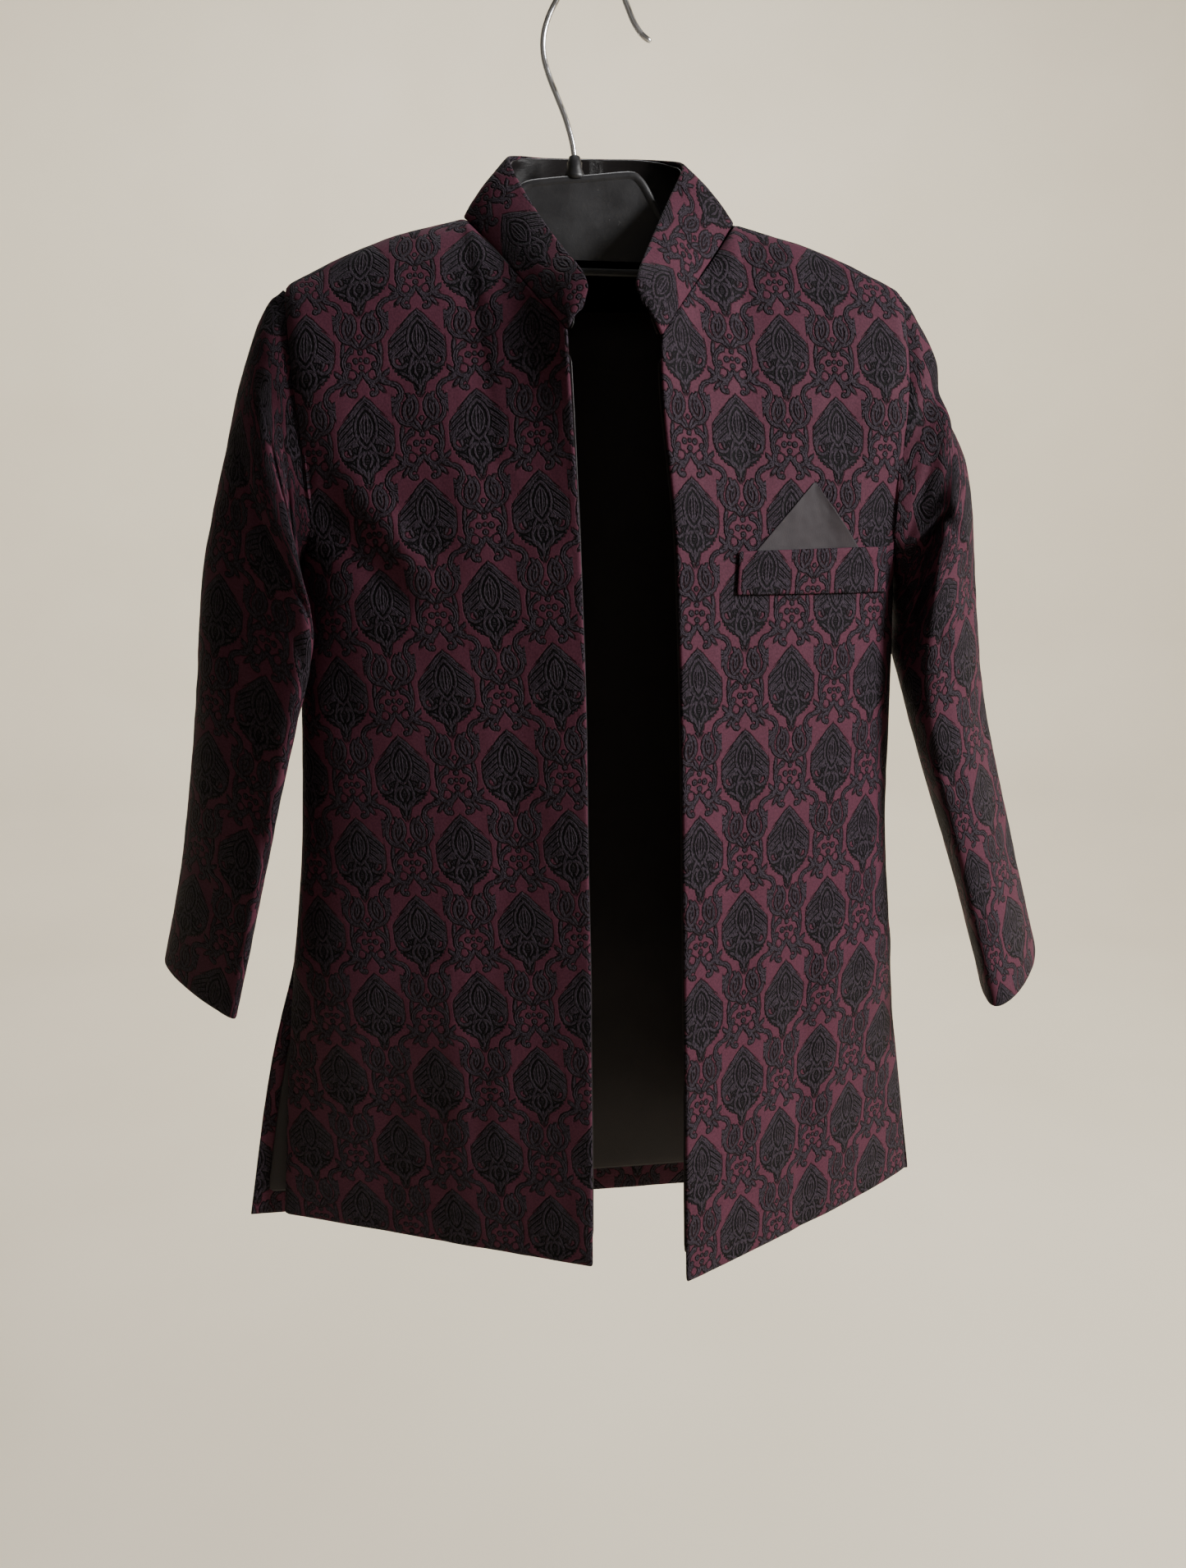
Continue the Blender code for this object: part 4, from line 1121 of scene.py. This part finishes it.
def satinMaterial(name, dark, light, rough):
    material, tree, shader = startMaterial(name)
    uvMap = tree.nodes.new("ShaderNodeUVMap")
    uvMap.uv_map = "cloth"
    weave = useGroup(tree, twillTree, uvMap.outputs[0], Spacing=satin["thread"], Lean=0.0)
    soft = streaky(tree, uvMap.outputs[0], (30, 12, 1), 3.0)
    shade = scaled(tree, soft, 0.7, times(tree, weave.outputs["Slub"], 0.4))
    tree.links.new(blended(tree, shade, dark, light), shader.inputs["Base Color"])
    setShader(shader, rough=rough, specular=satin["specular"], sheen=satin["sheen"])
    height = scaled(tree, weave.outputs["Slub"], 0.4, times(tree, weave.outputs["Rib"], 0.3))
    addBump(tree, shader, height, satin["relief"])
    return material


print("cloth materials")
brocadeFrontRight = brocadeMaterial("brocadeFrontRight", (16, -243.1), -4.0)
brocadeFrontLeft = brocadeMaterial("brocadeFrontLeft", (32.4, -209.8))
brocadeBack = brocadeMaterial("brocadeBack", (0, -236))
brocadeSleeveRight = brocadeMaterial("brocadeSleeveRight", (10, -20))
brocadeSleeveLeft = brocadeMaterial("brocadeSleeveLeft", (4, -10))
brocadeCollar = brocadeMaterial("brocadeCollar", (12, 30))
brocadeWelt = brocadeMaterial("brocadeWelt", (38, -236))
satinLining = satinMaterial("satinLining", *satin["lining"])
satinCollar = satinMaterial("satinCollar", *satin["collar"])
satinSquare = satinMaterial("satinSquare", *satin["square"])


def dress(piece, material, slotName, *nodes):
    piece.data.materials.append(material)
    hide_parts(*nodes)


print("fronts and back")
for name, piece, form, side, material, label, node, middleShare in (
    ("coatFrontRight", frontRight, frontRightForm, 1, brocadeFrontRight,
     "brocade_front_right", "front_right", 0),
    ("coatFrontLeft", frontLeft, frontLeftForm, -1, brocadeFrontLeft,
     "brocade_front_left", "front_left", 0),
    ("coatBack", back, backForm, 1, brocadeBack,
     "brocade_back", "back", 48),
):
    shares = spread(0, 1, piece["across"])
    rows = spread(0, 1, piece["down"][0]) + spread(1, 2, piece["down"][1])[1:]
    grid = readForm(form, side, shares, rows)
    flat = layFlat(grid[0], rows, middleShare, 1.0)
    wall = clothWall(name, grid, flat, (0, piece["thick"]))
    dress(wall, material, label, node)
    area = 0.128 if name == "coatBack" else 0.066

print("sleeves")
for name, piece, form, side, material, label, node in (
    ("coatSleeveRight", sleeveRight, sleeveRightForm, -1, brocadeSleeveRight,
     "brocade_sleeve_right", "sleeve_right"),
    ("coatSleeveLeft", sleeveLeft, sleeveLeftForm, 1, brocadeSleeveLeft,
     "brocade_sleeve_left", "sleeve_left"),
):
    shares = spread(0, 1, piece["around"])
    rows = spread(0, 6, piece["down"])
    grid = readForm(form, side, shares, rows, True)
    wall = clothWall(name, grid, layTube(grid[0], rows), (0, piece["thick"]), True)
    dress(wall, material, label, node)

print("collar")
collarShares = spread(0, 1, collar["across"])
collarRows = spread(0, 1, collar["down"])
collarGrid = readForm(collarForm, -1, collarShares, collarRows)
collarWall = clothWall("coatCollar", collarGrid, layCollar(collarGrid[0], collarRows), (0, collar["thick"]))
dress(collarWall, brocadeCollar, "brocade_collar", "collar")

print("lining")
frontShares = spread(0, 1, lining["across"])
backShares = spread(0.03, 0.97, lining["acrossBack"])
for name, form, side, shares, label, node, size, area in (
    ("liningFrontRight", liningRightForm, 1, frontShares,
     "satin_right", "lining_front_right", (0.172, 0.455), 0.06),
    ("liningFrontLeft", liningLeftForm, -1, frontShares,
     "satin_left", "lining_front_left", (0.172, 0.455), 0.06),
    ("liningBack", liningBackForm, 1, backShares,
     "satin_back", "lining_back", (0.332, 0.455), 0.118),
):
    rows = spread(lining["top"], lining["end"], lining["down"])
    grid = readForm(form, side, shares, rows)
    slack = [[lining["armholeSlack"] * nearArmhole(share, row) for row in rows] for share in shares]
    layer = (frontRight["thick"] + lining["gap"], lining["thick"])
    wall = clothWall(name, grid, layFlat(grid[0], rows, 0, 1.0), layer, slack=slack)
    dress(wall, satinLining, label, node)
insideRows = spread(0.04, 0.985, 12)
insideGrid = readForm(collarForm, -1, collarShares, insideRows)
insideLayer = (collar["thick"] + lining["gap"] + lining["collarSlack"], lining["thick"])
insideWall = clothWall("collarLining", insideGrid, layCollar(insideGrid[0], insideRows), insideLayer)
dress(insideWall, satinCollar, "satin_collar", "collar_lining")

print("breast pocket")


def onFront(name, form, across, down, middle, gap, thick):
    rows = spread(0, 1, down)
    grid = readForm(form, -1, spread(0, 1, across), rows)
    return clothWall(name, grid, layFlat(grid[0], rows, middle, 0), (-gap - thick, thick))


weltWall = onFront("pocketWelt", weltForm, 40, 12, 0, pocket["weltGap"], pocket["weltThick"])
dress(weltWall, brocadeWelt, "brocade_welt", "pocket_welt")
squareWall = onFront("pocketSquare", squareForm, 28, 20, 14, pocket["squareGap"], pocket["squareThick"])
dress(squareWall, satinSquare, "satin_square", "pocket_square")

# Hanger body
hanger = {
    # x, z round the plate
    "outline": [
        (-5, -82), (5, -81.2), (26, -78.6), (31, -83), (39, -97), (48, -104.5), (58, -108.8),
        (76, -109), (110, -115.2), (136, -126.4), (138.5, -131.5), (135.5, -135.5), (106, -126),
        (76, -120), (56, -119.5), (42, -122.6), (-14, -122.6), (-30, -119), (-52, -120.5),
        (-84, -128.5), (-108, -140), (-112, -137), (-110.5, -131.2), (-86, -116.6), (-56, -109.4),
        (-43, -108.6), (-34, -98.5), (-27.5, -88.5), (-21, -84),
    ],
    "thick": 7.0,
    "web": 5.8,
    "rim": 1.5,
    "edge": 1.3,
    "field": 0.5,
    # socket that holds the wire: radius, z
    "socket": [
        (0, -83), (4.4, -83), (4.4, -81), (3.3, -78.6), (3.3, -76), (2.7, -75.2), (2.4, -73.6),
        (1.5, -73), (0, -73),
    ],
}


def roundedOutline(points, share, steps):
    line = []
    count = len(points)
    for number in range(count):
        here = Vector(points[number])
        before = Vector(points[number - 1])
        after = Vector(points[(number + 1) % count])
        start = here.lerp(before, share)
        end = here.lerp(after, share)
        for step in range(steps + 1):
            part = step / steps
            line.append(start.lerp(here, part).lerp(here.lerp(end, part), part))
    return line


def plasticMaterial():
    material, tree, shader = startMaterial("mouldedBlack")
    where = tree.nodes.new("ShaderNodeTexCoord").outputs["Object"]
    dust = noisy(tree, where, 90.0, 4.0, 0.65)
    grain = noisy(tree, where, 900.0, 2.0)
    specks = ramped(tree, noisy(tree, where, 420.0, 2.0, 0.7), 0.70, 0.78)
    colour = blended(tree, dust, (0.010, 0.0095, 0.0105), (0.018, 0.017, 0.0185))
    colour = blended(tree, times(tree, specks, 0.12), colour, (0.30, 0.29, 0.28))
    tree.links.new(colour, shader.inputs["Base Color"])
    tree.links.new(ramped(tree, dust, 0.2, 0.8, 0.36, 0.52), shader.inputs["Roughness"])
    addBump(tree, shader, grain, 0.00004)
    return material


def chromeMaterial():
    material, tree, shader = startMaterial("platedWire")
    where = tree.nodes.new("ShaderNodeTexCoord").outputs["Object"]
    haze = noisy(tree, where, 160.0, 3.0, 0.6)
    tree.links.new(blended(tree, haze, (0.56, 0.56, 0.58), (0.78, 0.78, 0.80)), shader.inputs["Base Color"])
    setShader(shader, metal=1.0)
    tree.links.new(ramped(tree, haze, 0.3, 0.7, 0.14, 0.30), shader.inputs["Roughness"])
    addBump(tree, shader, streaky(tree, where, (60, 60, 900)), 0.00002)
    return material


print("hanger")
plate = bmesh.new()
outline = roundedOutline(hanger["outline"], 0.3, 3)
ring = [plate.verts.new(((x - hookSide) * mm, -hanger["thick"] / 2 * mm, z * mm)) for x, z in outline]
plateFace = plate.faces.new(ring)
grown = bmesh.ops.extrude_face_region(plate, geom=[plateFace], use_keep_orig=True)
moved = [item for item in grown["geom"] if isinstance(item, bmesh.types.BMVert)]
bmesh.ops.translate(plate, verts=moved, vec=(0, hanger["thick"] * mm, 0))
bmesh.ops.recalc_face_normals(plate, faces=plate.faces)
rims = [edge for edge in plate.edges if abs(edge.verts[0].co.y - edge.verts[1].co.y) < mm]
bmesh.ops.bevel(
    plate,
    geom=rims,
    offset=hanger["edge"] * mm,
    offset_type="OFFSET",
    affect="EDGES",
    segments=3,
    profile=0.5,
    material=-1,
)
for field in [item for item in plate.faces if len(item.verts) > 20]:
    bmesh.ops.inset_region(plate, faces=[field], thickness=hanger["rim"] * mm, use_even_offset=True)
    way = Vector((0, -field.normal.y, 0))
    bmesh.ops.inset_region(plate, faces=[field], thickness=hanger["field"] * mm, use_even_offset=True)
    sunk = (hanger["thick"] - hanger["web"]) / 2 * mm
    bmesh.ops.translate(plate, verts=list(field.verts), vec=way * sunk)
for face in plate.faces:
    face.smooth = len(face.verts) < 6
plateBody = meshPiece("hangerBody", plate)
socketProfile = [(radius * mm, z * mm) for radius, z in hanger["socket"]]
socketPiece = meshPiece("hookSocket", lathed(socketProfile, -hookSide * mm, 32, 0.00001))
mouldedBlack = plasticMaterial()
dress(plateBody, mouldedBlack, "black_plastic", "hanger_body")
socketPiece.data.materials.append(mouldedBlack)

# Hook wire: a round section carried along a smooth line
hook = {
    "path": [
        (0, 0, -74.2), (-1.2, 0, -67), (-4, 0, -58), (-7.4, 0, -50), (-10.8, 0, -42), (-13, 0, -34.5),
        (-13.2, 0, -27), (-11.2, 0, -19.5), (-7.6, 0, -12.5), (-2.9, 0, -5.6), (2.8, 0, -0.6),
        (8.5, 0, 1.25), (14.2, 0, -0.4), (19, 0, -5.4), (22.4, 0, -12.5), (25.4, 0, -19),
        (29, 0, -23.8), (33, 0, -26.6),
    ],
    "wire": 2.5,
    "steps": 120,
}
keys = [(float(number),) + point for number, point in enumerate(hook["path"])]
centres = [smoothPoint(keys, step / hook["steps"] * (len(keys) - 1)) for step in range(hook["steps"] + 1)]
wire = bmesh.new()
loops = []
for number, centre in enumerate(centres):
    ahead = centres[min(number + 1, hook["steps"])] - centres[max(number - 1, 0)]
    left = hook["steps"] - number
    radius = hook["wire"] / 2 * (1 if left > 2 else (0.45, 0.80, 0.96)[left])
    made = bmesh.ops.create_circle(wire, segments=16, radius=radius * mm)
    turn = ahead.to_track_quat("Z", "Y")
    bmesh.ops.rotate(wire, verts=made["verts"], cent=(0, 0, 0), matrix=turn.to_matrix())
    spot = Vector((centre.x - hookSide, centre.y, centre.z)) * mm
    bmesh.ops.translate(wire, verts=made["verts"], vec=spot)
    rim = list({edge for vert in made["verts"] for edge in vert.link_edges})
    loops.append(rim)
for number in range(len(loops) - 1):
    bmesh.ops.bridge_loops(wire, edges=loops[number] + loops[number + 1])
for rim in (loops[0], loops[-1]):
    bmesh.ops.contextual_create(wire, geom=rim)
bmesh.ops.recalc_face_normals(wire, faces=wire.faces)
for face in wire.faces:
    face.smooth = len(face.verts) == 4
wirePiece = meshPiece("hangerHook", wire)
dress(wirePiece, chromeMaterial(), "chrome_wire", "hanger_hook")

# Studio: one pale shell that is floor and wall, soft lamps, camera
studio = {
    "floorZ": -1.05,
    # floor and wall: distance from the middle, rise above the floor
    "shell": [(0.0, 0.0), (1.4, 0.0), (2.2, 0.02), (2.8, 0.20), (3.1, 0.60), (3.2, 1.2), (3.2, 5.0)],
    "shellSteps": 48,
    # name, place, aim, size, watts
    "lamps": [
        ("key", (1.76, -1.03, 0.50), (0.02, 0.0, -0.32), 0.7, 98.0),
        ("fill", (-0.5, -1.9, 0.6), (0.0, 0.0, -0.35), 1.2, 0.8),
        ("top", (0.1, 0.0, 1.7), (0.0, 0.0, -0.4), 1.2, 5.0),
        ("wallWash", (0.2, 1.2, 1.3), (0.1, 3.1, -0.3), 1.2, 58.0),
        ("floorWash", (0.0, 0.8, 1.5), (0.0, 1.5, -1.05), 1.0, 20.0),
    ],
    "camera": (-0.0703, -0.5687, -0.2429),
    "pitch": 10.5,
    "yaw": 7.0,
    "focalPixels": 1500.0,
}
print("studio")
shellProfile = [(radius, studio["floorZ"] + rise) for radius, rise in studio["shell"]]
shell = lathed(shellProfile, 0, studio["shellSteps"], 0.0005)
bmesh.ops.reverse_faces(shell, faces=shell.faces)
studioFloor = newObject("studioFloor", shell)
paleMaterial, paleTree, paleShader = startMaterial("palePaint")
paleWhere = paleTree.nodes.new("ShaderNodeTexCoord").outputs["Object"]
paleTone = blended(paleTree, noisy(paleTree, paleWhere, 3.0, 4.0), (0.66, 0.585, 0.45), (0.74, 0.665, 0.53))
# painted shade: the shell's paint darkens towards the front, behind the camera, and towards the left,
# standing in for a dimmer room there
paleX, paleY, _ = parted(paleTree, paleWhere)
leftward = scaled(paleTree, paleY, 0.45, plus(paleTree, paleX, 0.55))
paintedRoomShade = ramped(paleTree, smaller(paleTree, leftward, plus(paleTree, paleY, 0.6)), 0.0, -1.2)
paleTone = blended(paleTree, paintedRoomShade, paleTone, (0.20, 0.19, 0.175))
paleTree.links.new(paleTone, paleShader.inputs["Base Color"])
setShader(paleShader, rough=0.9)
studioFloor.data.materials.append(paleMaterial)

for name, place, aim, size, watts in studio["lamps"]:
    data = bpy.data.lights.new(name, "AREA")
    data.shape = "DISK"
    data.size = size
    data.energy = watts
    lamp = bpy.data.objects.new(name, data)
    lamp.location = place
    lamp.rotation_euler = (Vector(aim) - Vector(place)).to_track_quat("-Z", "Y").to_euler()
    bpy.context.scene.collection.objects.link(lamp)
world = bpy.data.worlds.new("studioAir")
world.use_nodes = True
world.node_tree.nodes["Background"].inputs["Color"].default_value = (0.80, 0.79, 0.77, 1)
world.node_tree.nodes["Background"].inputs["Strength"].default_value = 0.09
bpy.context.scene.world = world

cameraData = bpy.data.cameras.new("photoCamera")
cameraData.sensor_width = 36.0
cameraData.lens = studio["focalPixels"] * 36.0 / 1911
cameraData.clip_start = 0.02
camera = bpy.data.objects.new("photoCamera", cameraData)
camera.location = studio["camera"]
camera.rotation_euler = (math.radians(90 - studio["pitch"]), 0, math.radians(-studio["yaw"]))
bpy.context.scene.collection.objects.link(camera)
bpy.context.scene.camera = camera

print("finished")
